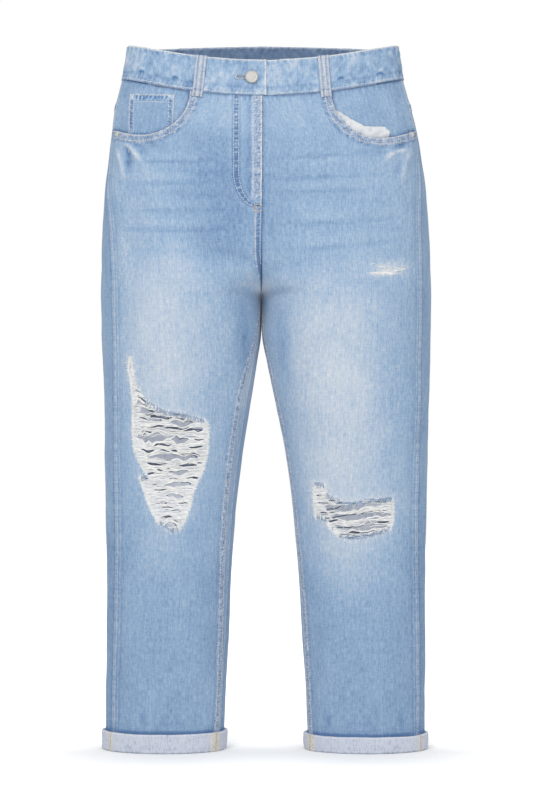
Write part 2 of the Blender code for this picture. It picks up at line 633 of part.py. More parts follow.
def buttonhole_cutter():
    """A keyhole through the band's outer end: a round end for the button's shank, and a slit beside it."""
    _, y, z = button_place()
    half, start, end = BUTTONHOLE["height"] / 2, BUTTONHOLE["from"], BUTTONHOLE["to"]
    edge = [(end - half + half * math.sin(a), half * math.cos(a)) for a in np.radians(np.arange(0, 181, 30))]
    slit = [(start + 1.6 + 1.6 * math.sin(a), 1.6 * math.cos(a)) for a in np.radians(np.arange(180, 361, 45))]
    edge = edge + slit
    bm = bmesh.new()
    front, back = y - BAND_LIFT - 6, y - BAND_LIFT + BAND_THICK + BAND_GAP * 0.45
    rings = [[bm.verts.new((x * MM, depth * MM, (z + h) * MM)) for x, h in edge] for depth in (front, back)]
    bm.faces.new(rings[0])
    bm.faces.new(rings[1][::-1])
    for i in range(len(edge)):
        j = (i + 1) % len(edge)
        bm.faces.new((rings[0][j], rings[0][i], rings[1][i], rings[1][j]))
    bmesh.ops.recalc_face_normals(bm, faces=bm.faces)
    mesh = bpy.data.meshes.new("buttonhole_cutter")
    bm.to_mesh(mesh)
    bm.free()
    cutter = bpy.data.objects.new("buttonhole_cutter", mesh)
    bpy.context.scene.collection.objects.link(cutter)
    cutter.hide_render = True
    cutter.display_type = "WIRE"
    return cutter


def button_place():
    """The middle of the band under the button, on the form."""
    return form(RIGHT, *button_spot())


def button_spot():
    level = (RIM + WAIST_SEAM) / 2
    return turn_at(RIGHT, BUTTON_X, level), level


def button():
    """A domed cap on the band and its shank, through the buttonhole, down to the end of the band under it."""
    foot = BAND_LIFT - BAND_THICK - BAND_GAP + GAP
    seat = BAND_LIFT + GAP + 0.1
    cap = seat + BUTTON_CAP
    profile = [(0, foot), (SHANK_R, foot), (SHANK_R, seat), (BUTTON_R - 1.2, seat), (BUTTON_R, seat + 1.2)]
    profile += [(BUTTON_R, cap - 1.2), (BUTTON_R - 1.2, cap), (BUTTON_R - 2.6, cap - 0.5), (0, cap - 0.9)]
    turned("button", profile, button_place(), outward(RIGHT, *button_spot()), "metal", 20)


def rivets():
    """One copper-coloured rivet at each front pocket's outer corner, on the front's upper edge."""
    for side, name in ((RIGHT, "rivet_right"), (LEFT, "rivet_left")):
        corner = POCKETS[side]["corner"]
        (around_mm, level), = on_front(side, [(corner[0] - side * RIVET_IN, corner[1] - RIVET_DOWN)])
        turn = around_mm / SPAN
        normal = outward(side, turn, level)
        base, top = GAP + 0.25, GAP + 0.25 + RIVET_CAP
        profile = [(0, base), (RIVET_R, base), (RIVET_R, top - 0.7), (RIVET_R - 0.8, top), (0, top + 0.3)]
        turned(name, profile, form(side, turn, level), normal, "metal", 14)


def belt_loops():
    """Flat loops over the band, from its rim to a little way below its seam."""
    levels = np.array([RIM - 0.5, 8.0, -8.0, WAIST_SEAM + 0.5, WAIST_SEAM - 3.0, WAIST_SEAM - LOOP_TAIL])
    lift = np.where(levels > WAIST_SEAM, BAND_LIFT + GAP, 0.8) + LOOP_THICK
    for name, (face, top_x, low_x) in LOOPS.items():
        outer, normals = [], []
        inner_turn = 0.0 if face == "front" else 1.0
        for i in range(3):
            offset = LOOP_WIDTH * (i - 1) / 2
            line = top_x + (low_x - top_x) * np.linspace(0, 1, len(levels)) + offset
            sides = np.where(line < column("centre", levels), RIGHT, LEFT)
            places = [turn_at(int(s), x, v, inner_turn, 0.5) for s, x, v in zip(sides, line, levels)]
            normals.append([outward(int(s), t, v) for s, t, v in zip(sides, places, levels)])
            outer.append([form(int(s), t, v) for s, t, v in zip(sides, places, levels)])
        outer, normals = np.array(outer), np.array(normals)
        outer = outer + normals * lift[None, :, None]
        count = len(levels)
        triangles = []
        for i in range(2):
            for j in range(count - 1):
                a, b = i * count + j, (i + 1) * count + j
                triangles += [(a, b, b + 1), (a, b + 1, a + 1)]
        thicken(name, outer.reshape(-1, 3), normals.reshape(-1, 3), np.array(triangles), LOOP_THICK, "denim")


def fly_shield():
    """The plain guard behind the fly, from the left front under the right one."""
    levels = [WAIST_SEAM - 2, -50.0, -80.0, -110.0, -140.0, -165.0, SHIELD_END]
    width = 1 / (math.pi * outer_of(RIGHT, -90.0))
    stations = [(LEFT, SHIELD_LAP * width), (LEFT, 0.0)]
    stations += [(RIGHT, SHIELD_WIDTH / 2 * width), (RIGHT, SHIELD_WIDTH * width)]
    grid_cloth("fly_shield", stations, levels, [-(DENIM + GAP + SHIELD_CLEAR)] * len(stations), DENIM)


def cuffs():
    """Each leg's end, turned up twice: a soft roll round the leg's cloth, rounded at its lower fold."""
    low, outside = HEM, GAP + CUFF_THICK
    for side, name in ((RIGHT, "cuff_right"), (LEFT, "cuff_left")):
        top = CUFF_TOPS[side]
        profile = [
            (GAP, top - 0.6), (GAP, low + 3.2), (GAP + 1.4, low), (outside - 1.2, low), (outside, low + 2.6),
            (outside + 0.3, low + 12.0), (outside, top - 2.4), (outside - 1.4, top), (GAP + 1.0, top),
        ]
        shares = [(panel, i / COLUMNS) for panel in ("front", "back") for i in range(COLUMNS)]
        points = []
        for panel, share in shares:
            for lift, level in profile:
                turn = around(side, panel, share, level) % 1
                normal = outward(side, turn, level)
                normal[2] = 0.0
                points.append(form(side, turn, level) + normal / np.linalg.norm(normal) * lift)
        count, faces = len(profile), []
        for i in range(len(shares)):
            for j in range(count):
                a, b = i * count + j, i * count + (j + 1) % count
                c, d = ((i + 1) % len(shares)) * count + (j + 1) % count, ((i + 1) % len(shares)) * count + j
                faces.append((a, b, c, d)[:: -side])
        made = add_object(name, points, faces, "denim_reverse")
        bm = bmesh.new()
        bm.from_mesh(made.data)
        bmesh.ops.recalc_face_normals(bm, faces=bm.faces)
        bm.to_mesh(made.data)
        bm.free()


def main():
    for obj in list(bpy.data.objects):
        bpy.data.objects.remove(obj)
    for side in (RIGHT, LEFT):
        front_pieces(side)
        back_pieces(side)
    waistband()
    button()
    rivets()
    belt_loops()
    fly_shield()
    cuffs()


main()
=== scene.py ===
"""Dresses a packed pair of ripped five-pocket jeans: cloth, creases, torn knees, stitching and metal.

Sizes are in millimetres, as a pattern cutter gives them, and become metres when a mesh is made. Each piece
is cut flat and bent onto the form that the solids have. Right and left are the wearer's: the right leg is
at -X, the front faces -Y, +Z is up, and the origin is in the middle of the waistband's ring.
"""

import math

import bpy
import numpy as np
from bpy.props import FloatProperty, PointerProperty
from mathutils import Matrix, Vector
from mathutils.geometry import delaunay_2d_cdt
from mathutils.bvhtree import BVHTree
from mathutils.kdtree import KDTree


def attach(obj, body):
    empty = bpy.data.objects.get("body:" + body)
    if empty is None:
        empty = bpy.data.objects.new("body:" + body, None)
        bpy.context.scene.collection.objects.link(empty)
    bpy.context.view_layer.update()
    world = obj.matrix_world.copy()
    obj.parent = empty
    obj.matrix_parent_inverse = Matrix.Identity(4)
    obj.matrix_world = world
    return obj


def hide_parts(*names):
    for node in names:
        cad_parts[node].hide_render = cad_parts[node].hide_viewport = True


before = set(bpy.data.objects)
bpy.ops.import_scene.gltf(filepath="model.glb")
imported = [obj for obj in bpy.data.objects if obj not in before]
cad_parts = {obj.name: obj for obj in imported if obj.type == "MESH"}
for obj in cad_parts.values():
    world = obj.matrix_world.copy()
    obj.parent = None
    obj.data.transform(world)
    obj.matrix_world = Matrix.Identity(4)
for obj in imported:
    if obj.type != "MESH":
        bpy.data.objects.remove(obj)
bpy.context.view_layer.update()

bl_info = {
    "name": "Ripped jeans",
    "version": (1, 0, 0),
    "blender": (4, 5, 0),
    "location": "View3D > Sidebar > Jeans",
    "description": "Builds the cloth, stitching and metal of a pair of ripped jeans on their solids",
    "category": "Object",
}

MM = 0.001
RIGHT, LEFT = -1, 1
SIDES = {RIGHT: "right", LEFT: "left"}
INNER_TURN = {"front": 0.0, "back": 1.0}

# ---- sizes that the solids have too ----

DENIM, GAP = 1.2, 0.3
RIM, WAIST_SEAM, HEM = 22.5, -22.0, -889.0
WAIST_EDGE = WAIST_SEAM - GAP / 2
CROTCH, CROTCH_ARC = -300.0, 75.0
TRUNK_POWER = 2.4
SPAN = 600.0
FORM_COLUMNS = ("level", "centre", "inner", "right", "left", "front", "back", "seat", "dip", "rise")
FORM = (
    (40, -3.8, 0.2, 176, 170, -57, 61, 0, 25, 10.5), (-22, -3.8, 0.2, 187, 179, -66, 72, 0, 28, 10),
    (-55, -3.8, 0.2, 194.5, 187.5, -74, 80, 1, 21, 8), (-90, -3.8, 0.2, 200, 196.5, -81, 88, 3, 13, 6),
    (-130, -3.8, 0.2, 204.5, 203.5, -87, 94, 6, 6, 3), (-177, -4, 0.2, 210, 210, -92, 98, 8, 2, 1),
    (-250, -5, 0.2, 213, 214, -97, 98, 11, 0, 0), (-300, -5.5, 0.4, 214, 215, -95, 91, 6, 0, 0),
    (-345, -5.5, 1, 213, 215, -90, 86, 0, 0, 0), (-385, -4.5, 7, 211.5, 214, -85, 80, 0, 0, 0),
    (-437, -3, 16, 210, 212.5, -80, 73, 0, 0, 0), (-502, -2, 27, 209, 210.5, -73, 65, 0, 0, 0),
    (-567, -1.3, 35.5, 207.5, 209.5, -67, 59, 0, 0, 0), (-632, -1, 41, 206, 208, -61, 54, 0, 0, 0),
    (-697, -0.5, 45.5, 206, 207.5, -56, 50, 0, 0, 0), (-827, 0, 52.5, 208, 207, -50, 45, 0, 0, 0),
    (-900, 0, 55.5, 207, 206, -48, 43, 0, 0, 0),
)
SEAM_COLUMNS = ("level", "outseam_right", "outseam_left", "inseam_right", "inseam_left")
SEAMS = (
    (40, 2, 3, 0, 0), (-90, 2, 3, 0, 0), (-150, 5, 8, 0, 0), (-220, 14, 15, 0, 0), (-300, 20, 16.5, 0, 0),
    (-360, 20, 16.5, 2, 0.5), (-437, 18, 16, 6, 1), (-567, 16.5, 15.5, 6, 1), (-700, 14, 12.5, 5, 1.5),
    (-900, 11, 10, 6, 2),
)
POCKETS = {
    RIGHT: {"corner": (-194.5, -89.0), "low": (-154.0, -99.5), "top": (-96.0, -43.0)},
    LEFT: {"corner": (191.5, -90.0), "low": (141.0, -104.0), "top": (84.0, -45.0)},
}
FACING_UNDER, FACING_RISE = 12.0, 30.0
COIN_INNER, COIN_OUTER, COIN_TOP, COIN_DEEP = -116.0, -175.0, -45.5, 62.0
BAG_EDGE = ((88.5, -68.0), (107.0, -79.5), (125.0, -89.5), (152.0, -89.0), (158.5, -95.0))
BAG_FROM, BAG_TO, BAG_UNDER = 89.0, 158.0, 8.0
SHIELD_WIDTH, SHIELD_END, SHIELD_LAP, SHIELD_CLEAR = 36.0, -186.0, 12.0, 0.3
# The waistband stands out from the form, laps over its own end and steps in to run on behind it.
BAND_LIFT, BAND_THICK, BAND_GAP = 1.0, 2.6, 0.8
BAND_UNDERLAP, BAND_OVERLAP, BAND_STEP = 40.0, 5.0, (26.0, 12.0)
BUTTON_X, BUTTON_LEVEL, BUTTON_R, SHANK_R = -17.5, 0.25, 8.0, 2.2
BUTTONHOLE_FROM, BUTTONHOLE_TO, BUTTONHOLE_LEVEL = -37.0, -23.5, 0.4
RIVET_R, RIVET_IN, RIVET_DOWN, RIVET_TURN = 3.8, 4.5, 6.0, 1.2
LOOP_WIDTH, LOOP_THICK, LOOP_TAIL = 13.0, 1.8, 8.0
# A loop's face, and its x at the rim and at its lower end.
LOOPS = {
    "front_right": ("front", -81.0, -87.0), "front_left": ("front", 73.0, 77.5),
    "back_right": ("back", -108.0, -112.0),
    "back_left": ("back", 108.0, 112.0), "back_centre": ("back", -3.5, -3.5),
}
YOKE_SIDE, YOKE_MIDDLE = -52.0, -76.0
# A back pocket's inner edge and width, its top at the side and middle, its depth, its point and its taper.
PATCH_INNER, PATCH_WIDTH, PATCH_SIDE, PATCH_MIDDLE, PATCH_DEPTH = 32.0, 140.0, -84.0, -97.0, 138.0
PATCH_POINT, PATCH_TAPER_INNER, PATCH_TAPER_OUTER, PATCH_RISE = 8.0, 6.0, 4.0, 14.0
# The cuffs, how many steps each takes round a panel, and how wide the bound seams on them are.
CUFF_TOPS, CUFF_THICK = {RIGHT: -864.0, LEFT: -867.5}, 4.6
CUFF_PER_PANEL, CUFF_SEAM = 104, 10.5
# The fly's lower end and its folded edge's width, and the widths of felled seams and of the scoops' hems.
FLY_BOTTOM, FLY_BAND, FELLED, HEM_BAND = -190.0, 10.6, 10.0, 9.6
# The fly's two curved rows of stitches, from the middle, and the level where they start to bend.
J_INNER, J_OUTER, J_TURN = 29.7, 36.2, -145.0
# From one bunch of white threads to the next.
BUNCH = 4.7
# The torn holes' outlines, in x and z.
RIPS = {
    RIGHT: (
        (-172, -383), (-169, -397), (-166.5, -416), (-152, -437), (-127, -451), (-103, -455), (-78, -462),
        (-73, -470), (-74, -497), (-79, -522), (-92, -552), (-96, -569), (-102, -588), (-110, -602),
        (-118, -606), (-135, -594), (-144, -577), (-152, -556), (-159, -535), (-150, -533), (-158, -518),
        (-166, -501), (-168, -477), (-167.5, -441), (-169.5, -416), (-173, -398),
    ),
    LEFT: (
        (62.5, -542), (74.5, -544), (77, -556), (88, -562), (99, -568), (117, -567), (133, -563),
        (148, -563), (161, -561), (161.5, -579), (162, -590), (158, -601), (148, -607), (133, -610),
        (119, -613), (104, -614), (94, -611), (84, -601), (79, -592), (65, -588), (63.5, -572), (62, -558),
    ),
}
# Gaps between the white threads left across each hole: x, z, half their length and height, and slope.
GAPS = {
    RIGHT: (
        (-144, -484, 19, 6, -0.1), (-108, -487, 11, 4.5, 0), (-118, -509, 32, 4, -0.04),
        (-110, -528, 13, 2.5, 0.1), (-112, -545, 18, 3.2, -0.03), (-115, -560, 11, 3, 0),
        (-118, -579, 11, 2.4, 0), (-120, -597, 7, 2.4, -0.2), (-140, -461, 9, 2.6, -0.35),
        (-106, -466, 14, 3.2, 0), (-132, -459, 15, 1.8, 0), (-92, -475, 14, 1.6, -0.1),
        (-150, -449, 9, 1.6, -0.6), (-112, -472, 17, 1.5, 0.05), (-160, -427, 6, 1.5, -0.7),
        (-157, -437, 7, 1.4, -0.7), (-140, -470, 12, 1.4, 0.1), (-88, -497, 9, 1.6, 0.1),
        (-150, -500, 9, 1.6, -0.1), (-96, -506, 13, 1.5, 0), (-138, -517, 13, 1.6, 0.05),
        (-98, -519, 12, 1.6, -0.05), (-142, -531, 9, 1.5, 0.1), (-92, -536, 8, 1.4, 0),
        (-134, -551, 9, 1.4, 0), (-104, -569, 6, 1.4, 0.1), (-132, -570, 7, 1.4, 0),
        (-125, -587, 8, 1.5, 0), (-112, -592, 5, 1.3, 0), (-130, -495, 12, 1.5, 0),
    ),
    LEFT: (
        (112, -573, 36, 5.2, 0.12), (122, -585.5, 38, 4.4, 0.12), (122, -598, 32, 3.8, 0.12),
        (73, -569, 6, 2.2, -0.1), (84, -579, 9, 1.6, 0.1), (88, -592, 8, 1.5, 0.1),
        (146, -567, 9, 1.4, 0.1), (118, -604, 22, 1.6, 0.1), (98, -567, 9, 1.2, 0.1),
        (150, -592, 8, 1.5, 0.1), (74, -580, 6, 1.3, 0),
    ),
}

# ---- creases, fades and wear, in x and z seen from the front or the back ----

# Where each starts and ends, how far its middle bows, half its width, its height, its tone.
CREASES = {
    (RIGHT, "front"): (
        # pulled cloth under the rivets
        (-181, -108, -159, -134, 2, 4.2, 3, 0.95), (-178, -110, -158, -135, 1.5, 1.6, 0.8, 0.4),
        (-191, -116, -181, -152, 1.5, 3.4, 2.2, 0.8), (-178, -110, -176, -142, 1, 5.5, -2.6, -0.95),
        (-172, -106, -152, -124, 0, 5.5, -1.5, -0.55), (-150, -111, -120, -117, -1, 5, -0.8, -0.35),
        (-156, -137, -146, -158, 1, 6, 0.8, 0.15),
        # whiskers across the hips: a dark line with a soft light band over or under it
        (-180, -133, -62, -135, -1.5, 2.4, -0.5, -0.33), (-150, -128, -78, -128, -1.5, 5, 0.7, 0.12),
        (-186, -160, -66, -163, -1.5, 2.4, -0.5, -0.3), (-178, -153, -96, -154, -2, 6, 0.8, 0.12),
        (-110, -148, -52, -150, -1, 3.2, -0.4, -0.2), (-120, -176, -50, -178, -1, 3.5, -0.5, -0.17),
        (-188, -195, -46, -197, -2.5, 2.5, -0.6, -0.27), (-172, -188, -62, -190, -2, 6, 0.8, 0.12),
        (-186, -219, -40, -222, -3, 2.5, -0.6, -0.3), (-160, -212, -60, -214, -2, 6, 0.7, 0.12),
        (-170, -246, -90, -250, -2, 5, -0.5, -0.12),
        # soft folds from the crotch into the thighs, and down the inside of the legs
        (-12, -262, -62, -246, 3, 8, -1.2, -0.3), (-14, -280, -70, -272, 3, 9, 1, 0),
        (-30, -318, -26, -430, 2, 13, -1, -0.4),
        # the cloth's slight waves down the shins
        (-182, -640, -120, -652, 2, 9, 0.9, 0.05), (-180, -668, -96, -676, -2, 9, -0.8, -0.06),
        (-60, -640, -110, -660, 2, 8, 0.7, 0), (-150, -770, -70, -776, 2, 10, -0.7, -0.05),
        (-158, -836, -156, -858, 0, 4, -0.9, -0.45), (-92, -840, -92, -858, 0, 4, -0.7, -0.25),
    ),
    (LEFT, "front"): (
        # pulled cloth under the rivets
        (180, -116, 152, -131, -2, 4, 2.8, 0.9), (180, -116, 154, -130, -2, 1.8, 0.7, 0.65),
        (187, -118, 174, -155, -2, 4.6, 2.6, 0.75), (180, -108, 162, -124, 0, 5.5, -2.5, -0.9),
        (184, -126, 166, -152, 0, 6, -1.4, -0.3), (152, -121, 118, -122, 1, 5, -0.7, -0.3),
        (168, -160, 156, -178, -1, 6, 0.7, 0.12),
        # whiskers across the hips: a dark line with a soft light band over or under it
        (8, -131, 120, -125, -1.5, 2.4, -0.5, -0.31), (30, -137, 110, -132, -1.5, 6, 0.7, 0.12),
        (6, -158, 150, -150, -2, 2.5, -0.6, -0.33), (16, -166, 118, -160, -2, 6, 0.7, 0.11),
        (6, -176, 150, -168, -2, 2.4, -0.5, -0.27), (14, -196, 80, -192, -1, 5, 0.6, 0.09),
        (10, -216, 165, -207, -2.5, 2.5, -0.6, -0.31), (20, -208, 120, -200, -2, 6, 0.7, 0.11),
        (10, -248, 165, -236, -3, 2.5, -0.6, -0.3), (20, -239, 140, -228, -2, 6, 0.7, 0.12),
        (110, -186, 160, -184, -1, 4, -0.4, -0.14),
        # soft folds from the crotch into the thighs, and down the inside of the legs
        (8, -270, 58, -256, -3, 8, -1, -0.22), (9, -290, 66, -284, -3, 9, 0.9, 0),
        (22, -322, 22, -420, -2, 12, -0.9, -0.3),
        # the cloth's slight waves down the shins
        (60, -636, 130, -646, -2, 9, -0.8, -0.05), (185, -630, 130, -640, 2, 9, 0.8, 0),
        (70, -700, 150, -712, 2, 10, 0.7, 0), (80, -838, 80, -860, 0, 4, -1, -0.5),
        (172, -838, 174, -858, 0, 4, -0.7, -0.35),
    ),
    (RIGHT, "back"): (
        # the back: under the seat and behind the knees
        (-22, -286, -128, -318, -9, 9, -2.4, -0.22), (-26, -268, -150, -296, -10, 10, 2, 0.16),
        (-40, -330, -140, -352, -7, 9, -1.4, -0.12), (-186, -160, -120, -196, 3, 8, -0.9, -0.1),
        (-60, -520, -170, -536, -4, 8, -1.8, -0.25), (-58, -542, -150, -556, -4, 8, 1.5, 0.2),
        (-66, -566, -178, -572, 3, 7.5, -1.6, -0.22), (-80, -592, -176, -606, -3, 8, 1.1, 0.12),
        (-84, -620, -160, -628, 2, 7, -1, -0.12),
    ),
    (LEFT, "back"): (
        # the back: under the seat and behind the knees
        (24, -282, 132, -312, 9, 9, -2.2, -0.2), (30, -262, 154, -288, 9, 10, 1.9, 0.15),
        (44, -326, 150, -350, 6, 9, -1.3, -0.12), (184, -150, 124, -190, -3, 8, -0.9, -0.1),
        (62, -530, 176, -540, 4, 8, -1.7, -0.25), (58, -512, 150, -522, 3, 8, 1.4, 0.18),
        (70, -556, 168, -570, 3, 7.5, 1.4, 0.16), (66, -578, 172, -586, -3, 8, -1.5, -0.2),
        (90, -604, 170, -612, 2, 7, 1, 0.1),
    ),
}
# The middle, how far it reaches across and down, and how strong it is.
FADES = {
    (RIGHT, "front"): (
        (-131, -300, 44, 52, 0.52), (-130, -388, 44, 56, 0.5), (-108, -452, 38, 44, 0.2),
        (-128, -625, 36, 34, 0.28),
    ),
    (LEFT, "front"): (
        (90, -342, 42, 54, 0.47), (92, -430, 46, 66, 0.52), (96, -530, 44, 60, 0.52),
        (98, -622, 42, 46, 0.42), (112, -648, 38, 40, 0.26), (45, -390, 26, 90, 0.14),
    ),
    (RIGHT, "back"): (
        (-105, -220, 50, 70, 0.42), (-118, -380, 44, 90, 0.28), (-128, -680, 40, 100, 0.2),
    ),
    (LEFT, "back"): (
        (105, -220, 50, 70, 0.42), (118, -380, 44, 90, 0.28), (126, -680, 40, 100, 0.2),
    ),
}
# Patches rubbed down to the white weft: middle, half its length and height, slope, strength.
SCUFFS = {
    RIGHT: ((-178, -250, 9, 24, 0, 0.2),),
    LEFT: ((159, -270, 27, 10, 0.05, 0.62), (150, -276.5, 15, 2.6, 0.1, 0.85)),
}
# Where weft has been raised by rubbing: middle, half its length and height, how many threads, how long.
RAISED = {
    RIGHT: ((-178, -240, 8, 18, 9, 1.8), (-184, -270, 4, 16, 7, 1.6)),
    LEFT: ((152, -276.5, 15, 1.7, 34, 7), (166, -272, 10, 3.5, 20, 4.5), (150, -268, 18, 5, 16, 3.5)),
}
# Short dents in the waistband, each painted dark as shade with a painted highlight above it: x and level.
BAND_TACKS = ((-158.0, -8.0), (-115.0, -8.3), (96.0, -7.4), (146.0, -9.5))

# ---- lines, curves and noise ----


def pairs(first, second):
    """Two runs of numbers, or a run and one number, as points."""
    return np.stack(np.broadcast_arrays(first, second), axis=-1)


def unit(ways):
    return ways / np.linalg.norm(ways, axis=-1, keepdims=True)


def closed(line):
    """A closed outline as a line that ends where it starts."""
    return np.concatenate([line, line[:1]])


def run_along(line):
    """How far along a line each of its points is."""
    return np.pad(np.cumsum(np.linalg.norm(np.diff(line, axis=0), axis=1)), (1, 0))


def left_of(ways):
    return pairs(-ways[:, 1], ways[:, 0])


def smoothstep(t):
    t = np.clip(t, 0.0, 1.0)
    return t * t * (3 - 2 * t)


def bell(t):
    """1 at 0, falling smoothly to almost nothing at 2."""
    return np.exp(-np.square(t))


def within(value, low, high, soft=1.2):
    """1 between low and high, 0 outside, with soft ends."""
    return smoothstep((value - low) / soft + 0.5) * smoothstep((high - value) / soft + 0.5)


def between(table, i, j, up, on):
    """A table's value part of the way from row i to the next and from column j to the next."""
    low = table[i, j] * (1 - on) + table[i, j + 1] * on
    high = table[i + 1, j] * (1 - on) + table[i + 1, j + 1] * on
    return low * (1 - up) + high * up


def noise(u, v, seed):
    """Smooth noise between -1 and 1, with one random value at each corner of a unit square."""
    size = 128
    grid = np.pad(np.random.default_rng(seed).uniform(-1, 1, (size, size)), (0, 1), mode="wrap")
    i, j = np.floor(u).astype(int), np.floor(v).astype(int)
    return between(grid, i % size, j % size, smoothstep(u - i), smoothstep(v - j))


def pucker(along, across, pitch, seed):
    """Gathers between two rows of stitches: 1 at a ridge, 0 in a trough, uneven, slanted and broken."""
    uneven = 2.4 * noise(along / (2.6 * pitch), across / (2.2 * pitch), seed)
    wave = 0.5 + 0.5 * np.cos(math.tau * (along + 0.5 * across) / pitch + uneven)
    knots = noise(along / (0.6 * pitch), across / (0.45 * pitch), seed + 1)
    return np.clip(0.66 * wave + 0.17 + 0.42 * knots, 0, 1)


def beside(points, line):
    """For each point the distance to a line, how far along it the nearest place is, and which side of it."""
    line = np.asarray(line, float)
    best, along, sign = (np.full(len(points), value) for value in (1e9, 0.0, 1.0))
    start = 0.0
    for a, step in zip(line, np.diff(line, axis=0)):
        length, to = math.hypot(*step), points - a
        t = np.clip(to @ step / max(length**2, 1e-9), 0, 1)
        gap = np.linalg.norm(to - t[:, None] * step, axis=1)
        near = gap < best
        best, along = np.where(near, gap, best), np.where(near, start + t * length, along)
        sign = np.where(near, np.sign(step[0] * to[:, 1] - step[1] * to[:, 0]), sign)
        start += length
    return best, along, sign


def offset_line(line, by):
    """An open line moved sideways, to its left where by is above 0."""
    return line + left_of(unit(np.gradient(line, axis=0))) * by


def resampled(line, step):
    """An open line with its points this far apart."""
    run = run_along(line)
    at = np.linspace(0, run[-1], max(2, math.ceil(run[-1] / step) + 1))
    return np.stack([np.interp(at, run, axis) for axis in np.transpose(line)], axis=1)


def dense(points, step):
    """A closed outline with points no further apart than step."""
    found = []
    for a, b in zip(points, np.roll(points, -1, axis=0)):
        n = max(1, math.ceil(np.linalg.norm(b - a) / step))
        found += [a + (b - a) * i / n for i in range(n)]
    return np.array(found)


def twice_area(outline):
    """Above 0 for an outline that runs anticlockwise."""
    x, y = np.transpose(outline)
    return np.sum(x * np.roll(y, -1) - y * np.roll(x, -1))


def inset(points, by):
    """A closed outline moved in by a distance."""
    left = left_of(unit(np.roll(points, -1, axis=0) - points)) * math.copysign(1.0, twice_area(points))
    both = left + np.roll(left, 1, axis=0)
    return points + both * by / (0.5 * np.sum(both * both, axis=1, keepdims=True))


def frayed(outline, step, ragged, seed):
    """A closed outline made dense, with every point moved a little sideways."""
    fine = dense(outline, step)
    moved = np.random.default_rng(seed).uniform(-ragged, ragged, len(fine))
    return fine + left_of(unit(np.roll(fine, -1, axis=0) - np.roll(fine, 1, axis=0))) * moved[:, None]


# ---- the form ----


def hermite(table, index, level):
    """A column of a table at any level, on a smooth curve through its rows that never overshoots."""
    rows = np.array(table, float)[::-1]
    x, y = rows[:, 0], rows[:, index]
    step, rise = np.diff(x), np.diff(y)
    slope = rise / step
    product, total = slope[:-1] * slope[1:], slope[:-1] + slope[1:]
    inside = np.where(product > 0, 2 * product / np.where(np.abs(total) < 1e-9, 1.0, total), 0.0)
    tangent = np.concatenate([slope[:1], inside, slope[-1:]])
    i = np.clip(np.searchsorted(x, level, side="right") - 1, 0, len(step) - 1)
    t = (level - x[i]) / step[i]
    from_here = y[i] * (2 * t**3 - 3 * t**2 + 1) + tangent[i] * step[i] * (t**3 - 2 * t**2 + t)
    return from_here + y[i + 1] * (3 * t**2 - 2 * t**3) + tangent[i + 1] * step[i] * (t**3 - t**2)


def trunk_share(level):
    """0 in the legs, 1 in the trunk, and between them the quarter circle that the crotch seam follows."""
    s = np.clip((level - CROTCH) / CROTCH_ARC, 0.0, 1.0)
    return np.sqrt(1 - (1 - s) ** 2)


FINE_LEVELS = np.arange(-900.0, 40.25, 0.25)
FINE_COLUMNS = {
    name: hermite(table, names.index(name), FINE_LEVELS)
    for table, names in ((FORM, FORM_COLUMNS), (SEAMS, SEAM_COLUMNS)) for name in names[1:]}


def column(name, level):
    return np.interp(level, FINE_LEVELS, FINE_COLUMNS[name])


def outer_of(side, level):
    return column(SIDES[side], level)


TURN_PER_MM = 1 / (math.pi * outer_of(RIGHT, 0.0))


def form(side, turn, level):
    """Points of the outer surface. turn runs from 0 at the front's inner edge, over 0.5 at the side, to 1."""
    turn, level = np.broadcast_arrays(np.asarray(turn, float), np.asarray(level, float))
    names = ("centre", "inner", "front", "back", "seat", "dip", "rise")
    centre, inner, front, back, seat, dip, rise = (column(name, level) for name in names)
    outer = outer_of(side, level)
    near = trunk_share(level)
    turn = np.where((near == 0) & (turn > 1), turn - 1, turn)
    sine = np.abs(np.sin(math.pi * turn))
    across = sine**2 + smoothstep((level - CROTCH) / CROTCH_ARC) * (sine - sine**2)
    x = centre + side * (inner + (outer - side * centre - inner) * across)
    leg_depth = 2 * np.sqrt(across * (1 - across))
    trunk_depth = np.maximum(0, 1 - across**TRUNK_POWER) ** (1 / TRUNK_POWER)
    share = near + (smoothstep((level - CROTCH + 90) / 190) - near) * smoothstep(across / 0.4)
    depth = leg_depth + share * (trunk_depth - leg_depth)
    is_front = turn < 0.5
    y = (front + back) / 2 + np.where(is_front, -1, 1) * (back - front) / 2 * depth
    y = y + np.where(is_front, 0, seat * 16 * (across * (1 - across)) ** 2)
    from_side = 1 - ((x - centre) / (outer - side * centre)) ** 2
    z = level + np.where(is_front, -dip, rise) * from_side
    return np.stack([x, y, z], axis=-1)


def outward(side, turn, level):
    """Unit normals of the form, out of the cloth. Steps keep off the crotch, where the form has a corner."""
    turn, level = np.broadcast_arrays(np.asarray(turn, float), np.asarray(level, float))
    little, in_trunk = 2e-3, level > CROTCH - 0.5
    turn = np.where(in_trunk, np.clip(turn, 3 * little, 1 - 3 * little), turn)
    before, after = (np.where(in_trunk, t, t % 1) for t in (turn - little, turn + little))
    lower = np.where(in_trunk, np.maximum(level - 1, CROTCH + 0.5), np.minimum(level - 1, CROTCH - 2.5))
    around_form = form(side, after, lower + 1) - form(side, before, lower + 1)
    normal = np.cross(form(side, turn, lower) - form(side, turn, lower + 2), around_form) * side
    at_corner = in_trunk & (level < CROTCH + 0.5) & (np.abs(turn - 0.5) > 0.49)
    normal[..., 1] = np.where(at_corner, 0.0, normal[..., 1])
    return unit(normal)


def surface(side, flat):
    """The form's points and normals at places in the pattern."""
    return form(side, flat[:, 0] / SPAN, flat[:, 1]), outward(side, flat[:, 0] / SPAN, flat[:, 1])


